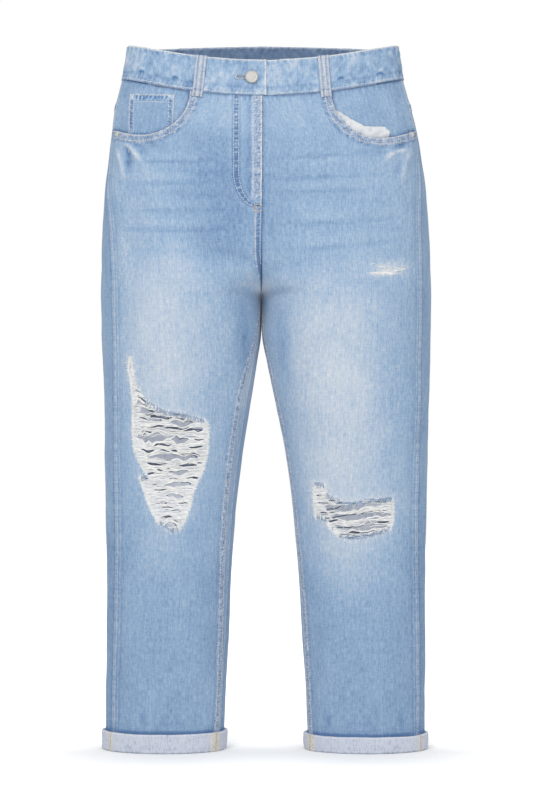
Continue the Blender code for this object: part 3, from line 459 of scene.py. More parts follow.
def turn_at(side, x, level, face="front"):
    """Where around the form its x is this, on the front or on the back."""
    x, level = np.broadcast_arrays(np.asarray(x, float), np.asarray(level, float))
    low, high = np.full(x.shape, INNER_TURN[face]), np.full(x.shape, 0.5)
    for _ in range(22):
        half = (low + high) / 2
        short = side * (form(side, half, level)[..., 0] - x) < 0
        low, high = np.where(short, half, low), np.where(short, high, half)
    return (low + high) / 2


def flat_of(side, face, points):
    """Points seen from the front or the back, as x and z, in the pattern: millimetres around, level."""
    x, z = np.array(points, float).reshape(-1, 2).T
    level = z.copy()
    for _ in range(6):
        turn = turn_at(side, x, level, face)
        level += z - form(side, turn, level)[:, 2]
    return pairs(turn * SPAN, level)


def outseam(side, level):
    """Where around the form the side seam is."""
    return turn_at(side, side * (outer_of(side, level) - column(f"outseam_{SIDES[side]}", level)), level)


def inseam(side, level):
    """Where around a leg its inner seam is: 0 in the trunk, where this is the middle seam."""
    half = (outer_of(side, level) - side * column("centre", level) - column("inner", level)) / 2
    return np.arccos(1 - column(f"inseam_{SIDES[side]}", level) / half) / math.tau


def seams(side, face, level):
    """Where around the form a panel starts and ends, going on from the front's inner seam."""
    first, last = inseam(side, level), outseam(side, level)
    return (first, last) if face == "front" else (last, 1 + first)


def around(side, face, share, level):
    """Where around the form a share of a panel's width is."""
    first, last = seams(side, face, level)
    return first + share * (last - first)


# ---- cloth coordinates: true millimetres across a panel from its inner seam, and level ----


class Panel:
    """One leg panel: turns places in the pattern into true millimetres across it, and back."""

    def __init__(self, side, face):
        self.side, self.face = side, face
        self.levels = np.linspace(HEM - 8, RIM, 180)
        self.first, self.last = seams(side, face, self.levels)
        shares = np.linspace(0, 1, 61)
        turns = self.first[:, None] + (self.last - self.first)[:, None] * shares
        places = form(side, turns, self.levels[:, None])
        run = np.cumsum(np.linalg.norm(np.diff(places, axis=1), axis=2), axis=1)
        self.widths = run[:, -1]
        self.lengths = np.pad(run / self.widths[:, None], ((0, 0), (1, 0)))
        self.shares = np.array([np.interp(shares, row, shares) for row in self.lengths])
        self.creases = [self.crease(*row) for row in CREASES[side, face]]

    def at(self, table, share, level):
        """A table's value at a level and a share, run straight on past the panel's edges."""
        inside = np.clip(share, 0, 1)
        row = np.interp(level, self.levels, np.arange(len(table)))
        cell = inside * (table.shape[1] - 1)
        i, j = np.minimum(row.astype(int), len(table) - 2), np.minimum(cell.astype(int), table.shape[1] - 2)
        return between(table, i, j, row - i, cell - j) + share - inside

    def width(self, level):
        return np.interp(level, self.levels, self.widths)

    def ends(self, level):
        return np.interp(level, self.levels, self.first), np.interp(level, self.levels, self.last)

    def cloth(self, flat):
        """Pattern places as distance from the panel's inner seam and level."""
        first, last = self.ends(flat[:, 1])
        share = self.at(self.lengths, (flat[:, 0] / SPAN - first) / (last - first), flat[:, 1])
        return pairs((share if self.face == "front" else 1 - share) * self.width(flat[:, 1]), flat[:, 1])

    def flat(self, cloth):
        """The other way round."""
        first, last = self.ends(cloth[:, 1])
        share = cloth[:, 0] / self.width(cloth[:, 1])
        share = self.at(self.shares, share if self.face == "front" else 1 - share, cloth[:, 1])
        return pairs((first + share * (last - first)) * SPAN, cloth[:, 1])

    def weave(self, flat):
        """Pattern places as distances from the panel's outer seam, whose threads run straight down."""
        cloth = self.cloth(flat)
        return pairs(self.width(cloth[:, 1]) - cloth[:, 0], cloth[:, 1])

    def seen(self, points):
        """Points as x and z, seen from the panel's own face, in cloth coordinates."""
        return self.cloth(flat_of(self.side, self.face, points))

    def crease(self, x1, z1, x2, z2, bow, half, high, tint):
        """A crease's line in cloth coordinates, its half width, height and tone."""
        t = np.linspace(0, 1, 9)
        run, fall = x2 - x1, z2 - z1
        across = bow * 4 * t * (1 - t) / math.hypot(run, fall)
        return self.seen(pairs(x1 + run * t - fall * across, z1 + fall * t + run * across)), half, high, tint

    def ripples(self, flat):
        """Low uneven waves all over the cloth, the same on both sides of a side seam."""
        u, v = flat.T
        wave = 1.1 * noise(u / 46 + 9 * self.side, v / 74, 11)
        wave += 0.5 * noise(u / 21 + 9 * self.side, v / 30, 12)
        wave += 0.16 * noise(u / 9, v / 11 + 40 * self.side, 13)
        return wave * smoothstep(self.cloth(flat)[:, 0] / 16) * smoothstep((RIM - 34 - v) / 30)

    def bare(self, flat):
        """Pattern places across the cloth, with the height and the tone of its creases and waves."""
        cloth = self.cloth(flat)
        height, tone = np.zeros(len(cloth)), np.zeros(len(cloth))
        for line, half, high, tint in self.creases:
            low, top = line.min(axis=0) - 3 * half, line.max(axis=0) + 3 * half
            near = np.all((cloth > low) & (cloth < top), axis=1)
            gap, along, _ = beside(cloth[near], line)
            end = np.sqrt(np.clip(np.sin(math.pi * np.clip(along / run_along(line)[-1], 0.02, 0.98)), 0, 1))
            shape = bell(gap / half) * end
            height[near] += high * shape
            tone[near] += tint * shape * (1 + 0.35 * noise(along / 9, gap / 9, 5))
        edge = smoothstep((self.width(cloth[:, 1]) - cloth[:, 0]) / 9) * smoothstep(cloth[:, 0] / 7)
        return cloth, height * edge + self.ripples(flat), tone * edge

    def fades(self, places):
        """How faded each place is, from its x and z."""
        x, z = places[:, 0], places[:, 2]
        total = np.zeros(len(places))
        for x0, z0, half_x, half_z, strength in FADES[self.side, self.face]:
            total += strength * bell((x - x0) / half_x / 1.15) * bell((z - z0) / half_z / 1.15)
        for x0, z0, half_x, half_z, slope, strength in SCUFFS[self.side] if self.face == "front" else ():
            uneven = 1 + 0.6 * noise(x / 3.0, z / 2.2, 21)
            total += strength * bell((x - x0) / half_x) * bell((z - z0 - slope * (x - x0)) / half_z) * uneven
        return total


PANELS = {(side, face): Panel(side, face) for side in SIDES for face in ("front", "back")}


# ---- cutting and bending cloth ----

# What each point of a cloth carries, and the finishes of a panel's outer side, its inner side and its edges.
LOOKS = ("fade", "tone", "wear")
DENIM_SIDES = ("denim", "denim_reverse", "cut_edge")


def tree_of(points):
    """Flat points, ready for finding the nearest."""
    tree = KDTree(len(points))
    for i, (u, v) in enumerate(points):
        tree.insert((u, v, 0), i)
    tree.balance()
    return tree


def kept_apart(points, others, least):
    """Those of the points that are at least this far from all the others."""
    tree = tree_of(others)
    return points[[tree.find((u, v, 0))[2] >= least for u, v in points]]


def thinned(points, cell):
    """One point for each square cell."""
    _, first = np.unique(np.round(points / cell).astype(int), axis=0, return_index=True)
    return points[np.sort(first)]


def cut(whole, across, down, apart=2.6, holes=(), fine=()):
    """Fills a closed outline, without its holes, with triangles: the points and the triangles."""
    low, high = whole.min(axis=0), whole.max(axis=0)
    u, v = np.meshgrid(np.arange(low[0], high[0], across), np.arange(low[1], high[1], down))
    u = u + (np.arange(u.shape[0]) % 2)[:, None] * across / 2
    lattice = pairs(u.ravel(), v.ravel())
    edges = np.concatenate([whole, *holes])
    if len(fine):
        fine = kept_apart(thinned(np.concatenate(fine), 1.05), edges, 0.9)
        lattice = np.concatenate([fine, kept_apart(lattice, np.concatenate([edges, fine]), apart)])
    else:
        lattice = kept_apart(lattice, edges, min(apart, 0.6 * down))
    corners, faces = [], []
    for outline in (whole, *holes):
        faces.append(list(range(len(corners), len(corners) + len(outline))))
        corners += [Vector(p) for p in (outline if twice_area(outline) > 0 else outline[::-1])]
    loose = [Vector(p) for p in lattice]
    points, _, triangles, _, _, sources = delaunay_2d_cdt(corners + loose, [], faces, 0, 1e-4)
    wanted = [0 in s and len(s) == 1 for s in sources]
    return np.array([tuple(p) for p in points]), np.array([tuple(t) for t in triangles])[wanted]


def border(faces):
    """The edges that only one face has, in the direction that their faces run."""
    ends = np.concatenate([faces[:, [i, (i + 1) % faces.shape[1]]] for i in range(faces.shape[1])])
    size = int(ends.max()) + 1
    return ends[~np.isin(ends[:, 0] * size + ends[:, 1], ends[:, 1] * size + ends[:, 0])]


def put(name, data):
    """A new object in the scene."""
    made = bpy.data.objects.new(name, data)
    bpy.context.scene.collection.objects.link(made)
    return made


def new_mesh(name, places, faces, finishes, finish_of=None, looks=None, cloth=None):
    """An object from points in millimetres, with its fade, tone and wear and its places in the weave."""
    mesh = bpy.data.meshes.new(name)
    mesh.from_pydata((places * MM).tolist(), [], faces)
    for finish in finishes:
        mesh.materials.append(material(finish))
    mesh.shade_smooth()
    if looks is not None:
        mesh.polygons.foreach_set("material_index", np.asarray(finish_of, np.int32))
        for mark, values in zip(LOOKS, looks):
            mesh.attributes.new(mark, "FLOAT", "POINT").data.foreach_set("value", values.astype(np.float32))
        corners = np.empty(len(mesh.loops), np.int32)
        mesh.loops.foreach_get("vertex_index", corners)
        uv = (cloth[corners] * MM).astype(np.float32)
        mesh.uv_layers.new(name="weave").data.foreach_set("uv", uv.ravel())
    mesh.update()
    return put(name, mesh)


def shell(name, panel, sheet, lining, look, under=None, finishes=DENIM_SIDES):
    """A thin shell on a panel. sheet and lining are its outer and its inner side, cut from the same outlines.
    look gives a place's height, fade, tone and wear; under how far out of the form the inner side lies."""
    under = under or (lambda flat: panel.bare(flat)[1] - DENIM)
    flats, faces, points, looks = [], [], [], []
    for (flat, triangles), is_sheet in ((sheet, True), (lining, False)):
        used, triangles = np.unique(triangles, return_inverse=True)
        triangles, flat = triangles.reshape(-1, 3), flat[used]
        base, normals = surface(panel.side, flat)
        height, *marks = look(flat, base)
        a, b, c = (base[triangles[:, i]] for i in range(3))
        if (np.sum(np.cross(b - a, c - a) * normals[triangles[:, 0]]) < 0) == is_sheet:
            triangles = triangles[:, ::-1]
        flats.append(flat)
        faces.append(triangles)
        points.append(base + normals * (height if is_sheet else under(flat))[:, None])
        looks.append(marks)
    count, tree, walls = len(flats[0]), tree_of(flats[1]), []
    rim = border(faces[0])
    partner = {i: tree.find((*flats[0][i], 0))[1] + count for i in np.unique(rim)}
    for a, b in rim:
        walls += [(b, a, partner[a]), (b, partner[a], partner[b])]
    kinds = np.repeat([0, 1, 2], [len(faces[0]), len(faces[1]), len(walls)])
    return new_mesh(name, np.concatenate(points), faces[0].tolist() + (faces[1] + count).tolist() + walls,
                    finishes, kinds, [np.concatenate(both) for both in zip(*looks)],
                    panel.weave(np.concatenate(flats)))


# ---- where points and stitches lie on a panel, in cloth coordinates ----

CROTCH_ANGLES = np.radians(np.linspace(4, 86, 22))
ARC_LEVELS = np.array([CROTCH + CROTCH_ARC * (1 - math.cos(a)) for a in CROTCH_ANGLES])


def upright(panel, edge, reach, levels):
    """A line down a panel at a distance from its inner or outer seam."""
    return pairs(reach if edge == "inner" else panel.width(levels) - reach, levels)


def rows_down(panel, edge, distances, step, top, bottom):
    """Rows of points along a panel's inner or outer seam."""
    levels = np.arange(top, bottom, -step)
    return panel.flat(np.concatenate([upright(panel, edge, reach, levels) for reach in distances]))


def rows_beside(panel, line, distances, step):
    line = resampled(line, step)
    return panel.flat(np.concatenate([offset_line(line, by) for by in distances]))


def block(panel, low_u, high_u, low_v, high_v, step):
    u, v = np.meshgrid(np.arange(low_u, high_u, step), np.arange(low_v, high_v, step))
    return panel.flat(pairs(u.ravel(), v.ravel()))


def crotch_points(panel):
    """Extra points by the crotch seam, in rows as close together as it needs."""
    reaches = [np.arange(3.0, 8.0 + 46.0 * (1 - math.cos(a)) + 34.0, 4.5) for a in CROTCH_ANGLES]
    return panel.flat(np.concatenate([pairs(reach, level) for reach, level in zip(reaches, ARC_LEVELS)]))


def outline_edges(panel):
    """A leg panel's four edges, in the pattern, anticlockwise: over, down, under and up."""
    half_gap = GAP / 2 / SPAN
    hips, legs = np.linspace(WAIST_EDGE, CROTCH + CROTCH_ARC, 68), np.linspace(CROTCH, HEM + 2.5, 196)
    levels = np.concatenate([hips, ARC_LEVELS[::-1], legs])
    first, last = seams(panel.side, panel.face, levels)
    first = first + np.where((levels < CROTCH + 1) | (panel.face == "back"), half_gap, 0)
    last = last - np.where((levels < CROTCH + 1) | (panel.face == "front"), half_gap, 0)
    top = np.linspace(first[0], last[0], int((last[0] - first[0]) * SPAN / 2.4))[1:-1]
    bottom = np.linspace(last[-1], first[-1], int((last[-1] - first[-1]) * SPAN / 3.0))[1:-1]
    return (pairs(top * SPAN, levels[0]), pairs(last * SPAN, levels), pairs(bottom * SPAN, levels[-1]),
            pairs(first * SPAN, levels)[::-1])


def scoop(side, count=40):
    """The front pocket's opening, in x and z from the rivet's corner to the waist seam."""
    corner, low, top = (np.array(POCKETS[side][k]) for k in ("corner", "low", "top"))
    outer = [low + (corner - low) * np.array([t, t * t]) for t in np.linspace(1, 0, count // 3)[:-1]]
    angles = np.linspace(0, math.pi / 2, count)
    return np.array(outer + [low + (top - low) * np.array([math.sin(a), 1 - math.cos(a)]) for a in angles])


def mouth_line(side):
    """The pocket's opening in the pattern, from the side seam to the waist seam."""
    line = flat_of(side, "front", scoop(side))
    line[:, 1] = np.minimum(line[:, 1], WAIST_EDGE)
    line[-1, 1] = WAIST_EDGE
    line[0, 0] = float(outseam(side, line[0, 1])) * SPAN - GAP / 2
    return line


def inseam_reach(side, level):
    """How far onto the front the felled inner seam runs, between the crotch and the calf."""
    reach = (0, 8, 12, 13, 6, 0) if side == RIGHT else (0, 4, 3, 0, 0, 0)
    return np.interp(level, (-800, -640, -500, -430, -330, CROTCH), reach)


def fly_curve(reach):
    """One row of the fly's topstitching: down from the waist, then round to the fly's lower end."""
    end_u, end_v = 3.5, FLY_BOTTOM + (reach - J_INNER) * -0.55
    bend = [(reach - (reach - end_u) * (1 - math.cos(a)), J_TURN + (end_v - J_TURN) * math.sin(a))
            for a in np.linspace(0, math.pi / 2, 18)[1:]]
    return np.array([(reach, v) for v in np.linspace(WAIST_SEAM - 2, J_TURN, 24)] + bend)


def yoke_line(side, count=90):
    """The yoke's seam, from the side seam down to the middle of the back."""
    turn = around(side, "back", np.linspace(0, 1, count), YOKE_SIDE)
    turn[0] += GAP / 2 / SPAN
    level = np.full(len(turn), YOKE_SIDE)
    for _ in range(6):
        x, _, z = form(side, turn, level).T
        inward = 1 - (x - column("centre", YOKE_SIDE)) / (x[0] - column("centre", YOKE_SIDE))
        level += z[0] + (YOKE_MIDDLE - z[0]) * inward - z
    level[0] = YOKE_SIDE
    turn[-1] -= GAP / 2 / SPAN
    return pairs(turn * SPAN, level)


def patch_corners(side):
    """A back pocket's corners, in x and z seen from behind: two at the top, two low ones and its point."""
    outer, low = PATCH_INNER + PATCH_WIDTH, PATCH_MIDDLE - PATCH_DEPTH
    near, far = PATCH_INNER + PATCH_TAPER_INNER, outer - PATCH_TAPER_OUTER
    corners = ((PATCH_INNER, PATCH_MIDDLE), (outer, PATCH_SIDE), (far, PATCH_SIDE - PATCH_DEPTH + PATCH_RISE),
               ((near + far) / 2, low - PATCH_POINT), (near, low))
    return [(side * x, z) for x, z in corners]


COIN_LOW = COIN_TOP - COIN_DEEP
COIN_CORNERS = ((COIN_OUTER, COIN_TOP + 2), (COIN_INNER, COIN_TOP - 2), (COIN_INNER - 1, COIN_LOW),
                (COIN_OUTER - 1, COIN_LOW + 6))


# ---- seams, hems and torn edges on the leg panels ----


class Details:
    """What seams and edges add to a panel's places: height, tone and wear."""

    def __init__(self, panel, cloth):
        self.panel, self.cloth = panel, cloth
        self.u, self.v = cloth.T
        self.out = panel.width(self.v) - self.u
        self.height, self.tone, self.wear = np.zeros((3, len(cloth)))
        self.rope_pitch = bpy.context.scene.jeans_cloth.rope_pitch / MM

    def rope(self, along, gap, pitch, seed):
        return pucker(along, gap, self.rope_pitch * pitch, seed)

    def gathers(self, rope, inner, high, low, strong, pale):
        """Gathers between two rows of stitches: their height and tone, and where each changes its sign."""
        self.height += inner * (rope - low) * high
        self.tone += inner * (rope - pale) * strong

    def felled(self, gap, along, seed, share, high, rub):
        """A felled seam of the back, with a dark line beside it."""
        inner = within(gap, 2.2, FELLED - 1.6) * share
        self.gathers(self.rope(along, gap, 1, seed), inner, 0.7, 0.6, 1.5, 0.64)
        self.height += share * high * within(gap, -3, FELLED)
        self.tone -= share * 0.32 * bell((gap - FELLED - 2.4) / 1.8)
        self.wear += share * (0.34 * bell((gap - FELLED) / 1.1) + rub * bell((gap - 0.6) / 1.0))

    def painted_cuff_shadow(self):
        """Painted shadow on the leg along the turned-up hem's top edge."""
        gap = self.v - CUFF_TOPS[self.panel.side]
        self.tone -= 0.55 * bell(gap / 2.4) + 0.16 * bell(gap / 12)


def front_details(panel, cloth, mouth, rip):
    look = Details(panel, cloth)
    u, v, out, side = look.u, look.v, look.out, panel.side
    # the pocket's turned hem, two rows of stitches apart, standing a little off the facing
    gap, along, _ = beside(cloth, mouth)
    hem = within(gap, -3, HEM_BAND)
    inner = within(gap, 2.4, HEM_BAND - 2.0)
    look.gathers(look.rope(along, gap, 0.82, 31 + side), inner, 0.9, 0.6, 2.4, 0.62)
    look.height += hem * 0.75 + 1.3 * bell(gap / 12) * np.sin(
        math.pi * np.clip(along / run_along(mouth)[-1], 0, 1)) ** 2
    look.tone -= 0.72 * hem + 0.75 * bell((gap - HEM_BAND - 1.9) / 1.3)
    look.wear += 0.22 * hem + 0.35 * bell((gap - 0.2) / 0.9) + 0.20 * bell((gap - HEM_BAND) / 0.9)
    # the felled inner seam of the leg
    leg = smoothstep((CROTCH - v) / 8)
    rope = look.rope(v, u, 0.86, 41 + side)
    gap = u - inseam_reach(side, v)
    strip = within(gap, 0, FELLED) * leg
    look.gathers(rope, within(gap, 2.4, FELLED - 2.2) * leg, 0.8, 0.55, 2.8, 0.60)
    look.height += strip * 0.8
    look.tone += leg * (0.15 * within(gap, -14, 1) - 0.30 * bell((gap - FELLED - 2.2) / 1.7)) - 0.55 * strip
    look.wear += 0.28 * strip
    look.wear += leg * 0.16 * bell((gap - FELLED) / 1.1) * (0.5 + 0.5 * rope)
    look.wear += leg * 0.15 * bell((gap - 1.0) / 1.0)
    # painted light and shade where the thighs press together under the crotch, down to where the legs part:
    # lighter to offset the shade between the legs, a painted dark line where they meet, and painted light
    # across the crotch
    look.tone += within(v, -350, -286, 22) * (0.25 * bell(u / 22) + 0.40 * bell(u / 9) - 0.9 * bell(u / 1.2))
    look.tone += 0.45 * bell((v - CROTCH - 4) / 9) * bell(u / 40)
    # the side seam: a low ridge, a pale worn line and a darker one beside it
    rope = look.rope(v, out, 1.6, 51 + side)
    below = smoothstep((mouth[0, 1] - 4 - v) / 12)
    look.height += below * 0.55 * bell((out - 1.4) / 1.8) * (0.75 + 0.25 * rope)
    worn = 0.42 * bell((out - 1.6) / 1.0) + 0.20 * bell((out - 6.4) / 0.9)
    look.wear += below * worn * (0.72 + 0.28 * rope)
    look.tone -= below * (0.30 * bell((out - 4.0) / 1.4) + 0.22 * bell((out - 9.4) / 2.2))
    # cloth drawn in under the waistband, with a painted shadow line just under the band's edge
    gap = WAIST_SEAM - v
    rope = look.rope(u, gap, 2.1, 61 + side)
    look.height += 0.5 * bell(gap / 7) * (rope - 0.6) - 0.35 * bell(gap / 2.5)
    look.tone += 0.40 * bell(gap / 9) * (rope - 0.7) - 0.60 * bell(gap / 2.4)
    if side == RIGHT:
        fly_details(look)
    else:
        # painted shadow along the edge that lies under the fly
        look.tone -= smoothstep((v - CROTCH) / 6) * 0.40 * bell(u / 3.2)
    # torn edges curl a little; their sides are bare white weft
    gap, along, _ = beside(cloth, closed(rip))
    look.height += 0.25 * bell(gap / 3.5) * (1 + 0.9 * noise(along / 7, gap * 0, 81))
    look.wear += 0.30 * bell(gap / 2.0) * (1 + 0.8 * noise(along / 2.5, gap / 2, 82))
    look.tone += 0.16 * bell(gap / 9)
    steep = [(a, b) for a, b in zip(rip, np.roll(rip, -1, axis=0)) if abs(b - a)[1] > abs(b - a)[0]]
    gap = np.min([beside(cloth, ends)[0] for ends in steep], axis=0)
    look.wear += 1.25 * bell(gap / 1.7) * (1 + 0.6 * noise(u / 2.2, v / 1.6, 83))
    look.painted_cuff_shadow()
    return look


def fly_details(look):
    """The middle of the right front: the fly's folded edge, its curved topstitching and the seam under it."""
    u, v = look.u, look.v
    fly = smoothstep((v - FLY_BOTTOM - 4) / 8)
    strip = fly * within(u, 1.5, FLY_BAND - 0.5)
    look.gathers(look.rope(v, u, 1, 71), fly * within(u, 3.0, FLY_BAND - 1.5), 0.55, 0.6, 2.4, 0.64)
    look.height += fly * 0.9 * within(u, -3, FLY_BAND, 2.5)
    look.tone -= 0.55 * strip
    look.tone -= fly * 0.42 * bell((u - FLY_BAND - 5.5) / 3.4) * (0.6 + 0.4 * noise(v / 14, u * 0, 75))
    look.wear += 0.30 * strip + fly * (0.72 * bell((u - 0.6) / 1.1) + 0.40 * bell((u - FLY_BAND - 1.2) / 1.5))
    for reach in (J_INNER, J_OUTER):
        gap = beside(look.cloth, fly_curve(reach))[0]
        look.height -= 0.30 * bell(gap / 1.6)
        look.tone += -0.50 * bell(gap / 2.2) + 0.18 * bell((gap - 4.0) / 2)
    gap, along, _ = beside(look.cloth, fly_curve((J_INNER + J_OUTER) / 2))
    look.gathers(look.rope(along, gap, 1.25, 77), within(gap, -5, 2.6), 0.7, 0.6, 1.7, 0.74)
    seat = smoothstep((FLY_BOTTOM + 2 - v) / 6) * smoothstep((v - CROTCH) / 6)
    look.gathers(look.rope(v, u, 1, 79), seat * within(u, 2, 7), 0.6, 0.6, 1.5, 0.65)
    look.height += seat * 0.7 * within(u, -3, 8.5)
    # the seam strip a little darker, and darker still toward the crotch: painted shade between the thighs
    look.tone -= seat * (0.35 * within(u, -3, 10, 4) + 0.75 * within(u, -3, 8) * smoothstep((-222 - v) / 50))
    look.wear += seat * 0.35 * bell((u - 8.0) / 1.2)


def back_details(panel, cloth, yoke, pocket, on_yoke):
    look = Details(panel, cloth)
    u, v, out = look.u, look.v, look.out
    gap, along, _ = beside(cloth, yoke)
    if on_yoke:
        look.tone -= 0.40 * bell(gap / 2.0)
        gap = WAIST_SEAM - v
        look.height += 0.4 * bell(gap / 7) * (look.rope(u, gap, 2.1, 65) - 0.6) - 0.35 * bell(gap / 2.5)
        # a painted shadow line just under the waistband's edge
        look.tone -= 0.26 * bell(gap / 2.6)
    else:
        look.felled(gap, along, 131 + panel.side, 1, 0.75, 0.18)
        look.tone -= 0.34 * bell(beside(cloth, closed(pocket))[0] / 3.0)
    trunk = smoothstep((v - CROTCH) / 6)
    if panel.side == LEFT:
        look.felled(u, v, 141, trunk, 0.8, 0.22)
    else:
        look.tone -= trunk * 0.35 * bell(u / 3.0)
    leg = 1 - trunk
    rope = look.rope(v, out, 1.6, 51 + panel.side)
    look.height += 0.5 * bell((out - 1.6) / 2.0) * (0.75 + 0.25 * rope) + leg * 0.4 * bell((u - 1.6) / 2.0)
    look.wear += 0.26 * bell((out - 1.8) / 1.1) + leg * 0.22 * bell((u - 1.8) / 1.2)
    look.tone -= 0.30 * bell((out - 4.6) / 1.6) + leg * 0.26 * bell((u - 4.6) / 1.8)
    look.painted_cuff_shadow()
    return look


def dye_and_painted_shade(panel, cloth):
    """Tone by place on a leg panel: painted shade along the sides, in the strip behind the side seam, and in
    the crotch; painted light on the inner thighs; a deeper colour at the front hips and down the shins; random
    unevenness; and a painted shadow line above the cuff.
    """
    u, v = cloth.T
    out = panel.width(v) - u
    # painted shade along the sides, where the form turns away, and in the crotch
    tone = -0.08 * bell(out / 24) - 0.12 * bell((v - CROTCH) / 46) * bell(u / 17)
    # painted light on the inner thighs below the crotch, against the shade between the legs
    tone += 0.45 * bell(u / 22) * smoothstep((CROTCH + 20 - v) / 30) * smoothstep((v + 470) / 60)
    if panel.face == "back":
        # painted shade along the back's sides
        tone -= 0.20 * bell(out / 34)
    else:
        hips = smoothstep((v + 275) / 40) * smoothstep((-62 - v) / 40)
        tone -= hips * (0.44 * bell((u - 42) / 50) if panel.side == RIGHT else 0.28 * bell(u / 52))
    tone += 0.09 * noise(u / 34, v / 52, 91 + panel.side) + 0.06 * noise(u / 11, v / 17, 93)
    # darker down the shins, and a painted shadow line above the cuff
    return tone - 0.20 * smoothstep((-545 - v) / 110) - 0.5 * bell((v - CUFF_TOPS[panel.side] - 0.5) / 2.2)


def dressed(panel, details, *more):
    """A leg panel's look, with its seams' details."""
    def look(flat, places):
        cloth, height, tone = panel.bare(flat)
        found = details(panel, cloth, *more)
        tone += found.tone + dye_and_painted_shade(panel, cloth)
        return height + found.height, panel.fades(places), tone, found.wear
    return look


def leg_front(side):
    """A front: its panel with the pocket's scoop and the torn hole cut out."""
    panel = PANELS[side, "front"]
    mouth_flat = mouth_line(side)
    whole = np.concatenate(outline_edges(panel))
    corner = mouth_flat[0, 1]
    below = whole[(whole[:, 1] < corner - 1.5) | (whole[:, 0] < mouth_flat[-1, 0] - 1.5)]
    cut_at = int(np.argmax(below[:, 1] < corner - 1.5))
    edge = np.concatenate([below[:cut_at], resampled(mouth_flat, 1.8)[::-1], below[cut_at:]])
    ragged = frayed(flat_of(side, "front", RIPS[side]), 2.0, 0.7, 100 + side)
    mouth, rip, hip = panel.cloth(mouth_flat), closed(panel.cloth(ragged)), panel.width(-120.0)
    inner = (1.1, 2.3, 3.5, 4.7, 5.9, 7.1, 8.3, 9.4, 10.6, 12.2, 14.5)
    fine = [
        rows_beside(panel, mouth, -np.arange(1.3, 14, 1.3), 1.5),
        rows_down(panel, "inner", inner, 1.25, CROTCH, HEM + 24),
        rows_down(panel, "outer", (1.2, 2.4, 3.8, 5.2, 6.4, 7.8, 9.8, 12.2), 2.6, corner - 3, HEM + 24),
        rows_down(panel, "inner", (1.4, 2.8, 4.4, 6.2, 8.4, 11.0), 2.6, WAIST_SEAM - 3, CROTCH),
        crotch_points(panel),
        panel.flat(np.concatenate([offset_line(rip, by) for by in (-1.6, 1.6, 3.4, -3.4)])),
    ]
    if side == RIGHT:
        fine.append(block(panel, 0.8, 42.0, FLY_BOTTOM - 10, WAIST_SEAM - 3, 1.6))
        below_fly = (1.2, 2.4, 3.6, 4.8, 6.0, 7.2, 8.4, 9.8)
        fine.append(rows_down(panel, "inner", below_fly, 1.5, FLY_BOTTOM, CROTCH + 4))
    fine.append(block(panel, hip - 46, hip - 2, -158, -96, 2.1))
    return shell(f"{SIDES[side]}_front", panel, cut(edge, 4.2, 3.4, holes=[ragged], fine=fine),
                 cut(edge, 9, 9, 4.5, [ragged]), dressed(panel, front_details, mouth, panel.seen(RIPS[side])))


def leg_back(side):
    """A back panel, its yoke and its pocket."""
    panel, name = PANELS[side, "back"], SIDES[side]
    over, down, under, up = outline_edges(panel)
    line, pocket = yoke_line(side), flat_of(side, "back", patch_corners(side))
    seam, patch = panel.cloth(line), panel.cloth(pocket)
    low, high = line - [0, GAP / 2], line + [0, GAP / 2]
    at_side, at_middle = line[0, 1], line[-1, 1]
    yoke = np.concatenate([over, down[down[:, 1] > at_middle + 1], high[::-1], up[up[:, 1] > at_side + 1]])
    whole = np.concatenate([low, down[down[:, 1] < at_middle - 1], under, up[up[:, 1] < at_side - 1]])
    middle = (1.2, 2.4, 3.6, 4.8, 6.0, 7.2, 8.4, 9.8, 11.4)
    fine = np.concatenate([
        rows_beside(panel, seam, np.arange(1.3, 13, 1.3), 1.5),
        rows_down(panel, "outer", (1.2, 2.4, 3.8, 5.2, 6.4, 8.4, 11.0), 2.8, YOKE_SIDE - 4, HEM + 24),
        rows_down(panel, "inner", (1.2, 2.4, 3.8, 5.2, 7.0, 9.4), 2.8, CROTCH - 2, HEM + 24),
        rows_down(panel, "inner", middle, 1.5, at_middle - 4, CROTCH + 4),
        crotch_points(panel),
    ])
    below = np.interp(fine[:, 0], line[:, 0], line[:, 1]) - fine[:, 1]
    leg = shell(f"{name}_back", panel, cut(whole, 4.4, 3.6, fine=[fine[below > 0.9]]), cut(whole, 9, 9, 4.5),
                dressed(panel, back_details, seam, patch, False))
    top = shell(f"{name}_yoke", panel, cut(yoke, 2.6, 2.0), cut(yoke, 7, 6),
                dressed(panel, back_details, seam, patch, True))

    def look(flat, places):
        cloth, height, tone = panel.bare(flat)
        gap, along, _ = beside(cloth, closed(patch))
        top_gap, top_along, _ = beside(cloth, patch[:2])
        rope, top_rope = pucker(along, gap, 6.5, 151 + side), pucker(top_along, top_gap, 6.0, 155)
        inner, hem = within(gap, 2.4, 7.5), within(top_gap, 2.2, 11)
        height += GAP + DENIM + 0.1 + 1.2 * smoothstep(gap / 30) + 0.35 * bell((gap - 2.0) / 1.6)
        height += 0.45 * inner * (rope - 0.6)
        height += within(top_gap, -3, 13.0) * (0.5 + 0.5 * hem * (top_rope - 0.6))
        tone += dye_and_painted_shade(panel, cloth) + 0.10 + inner * (rope - 0.64) * 1.5 - 0.22 * bell((gap - 10.5) / 2.0)
        tone += hem * (top_rope - 0.66) * 1.2
        wear = 0.50 * bell(gap / 1.3) + 0.25 * bell((top_gap - 13.5) / 1.3)
        return height, panel.fades(places) * 1.2, tone, wear

    edge = dense(pocket, 1.6)
    fine = [rows_beside(panel, closed(patch), [by], 1.7)
            for sign in (-1, 1) for by in sign * np.arange(1.4, 9.5, 1.5)]
    fine.append(rows_beside(panel, patch[:2], -side * np.arange(9.5, 15, 1.6), 1.8))
    return leg, top, shell(f"{name}_back_pocket", panel, cut(edge, 3.4, 3.0, fine=fine), cut(edge, 7, 7), look,
                           lambda flat: panel.bare(flat)[1] + GAP + 0.1)


# ---- the front pockets ----


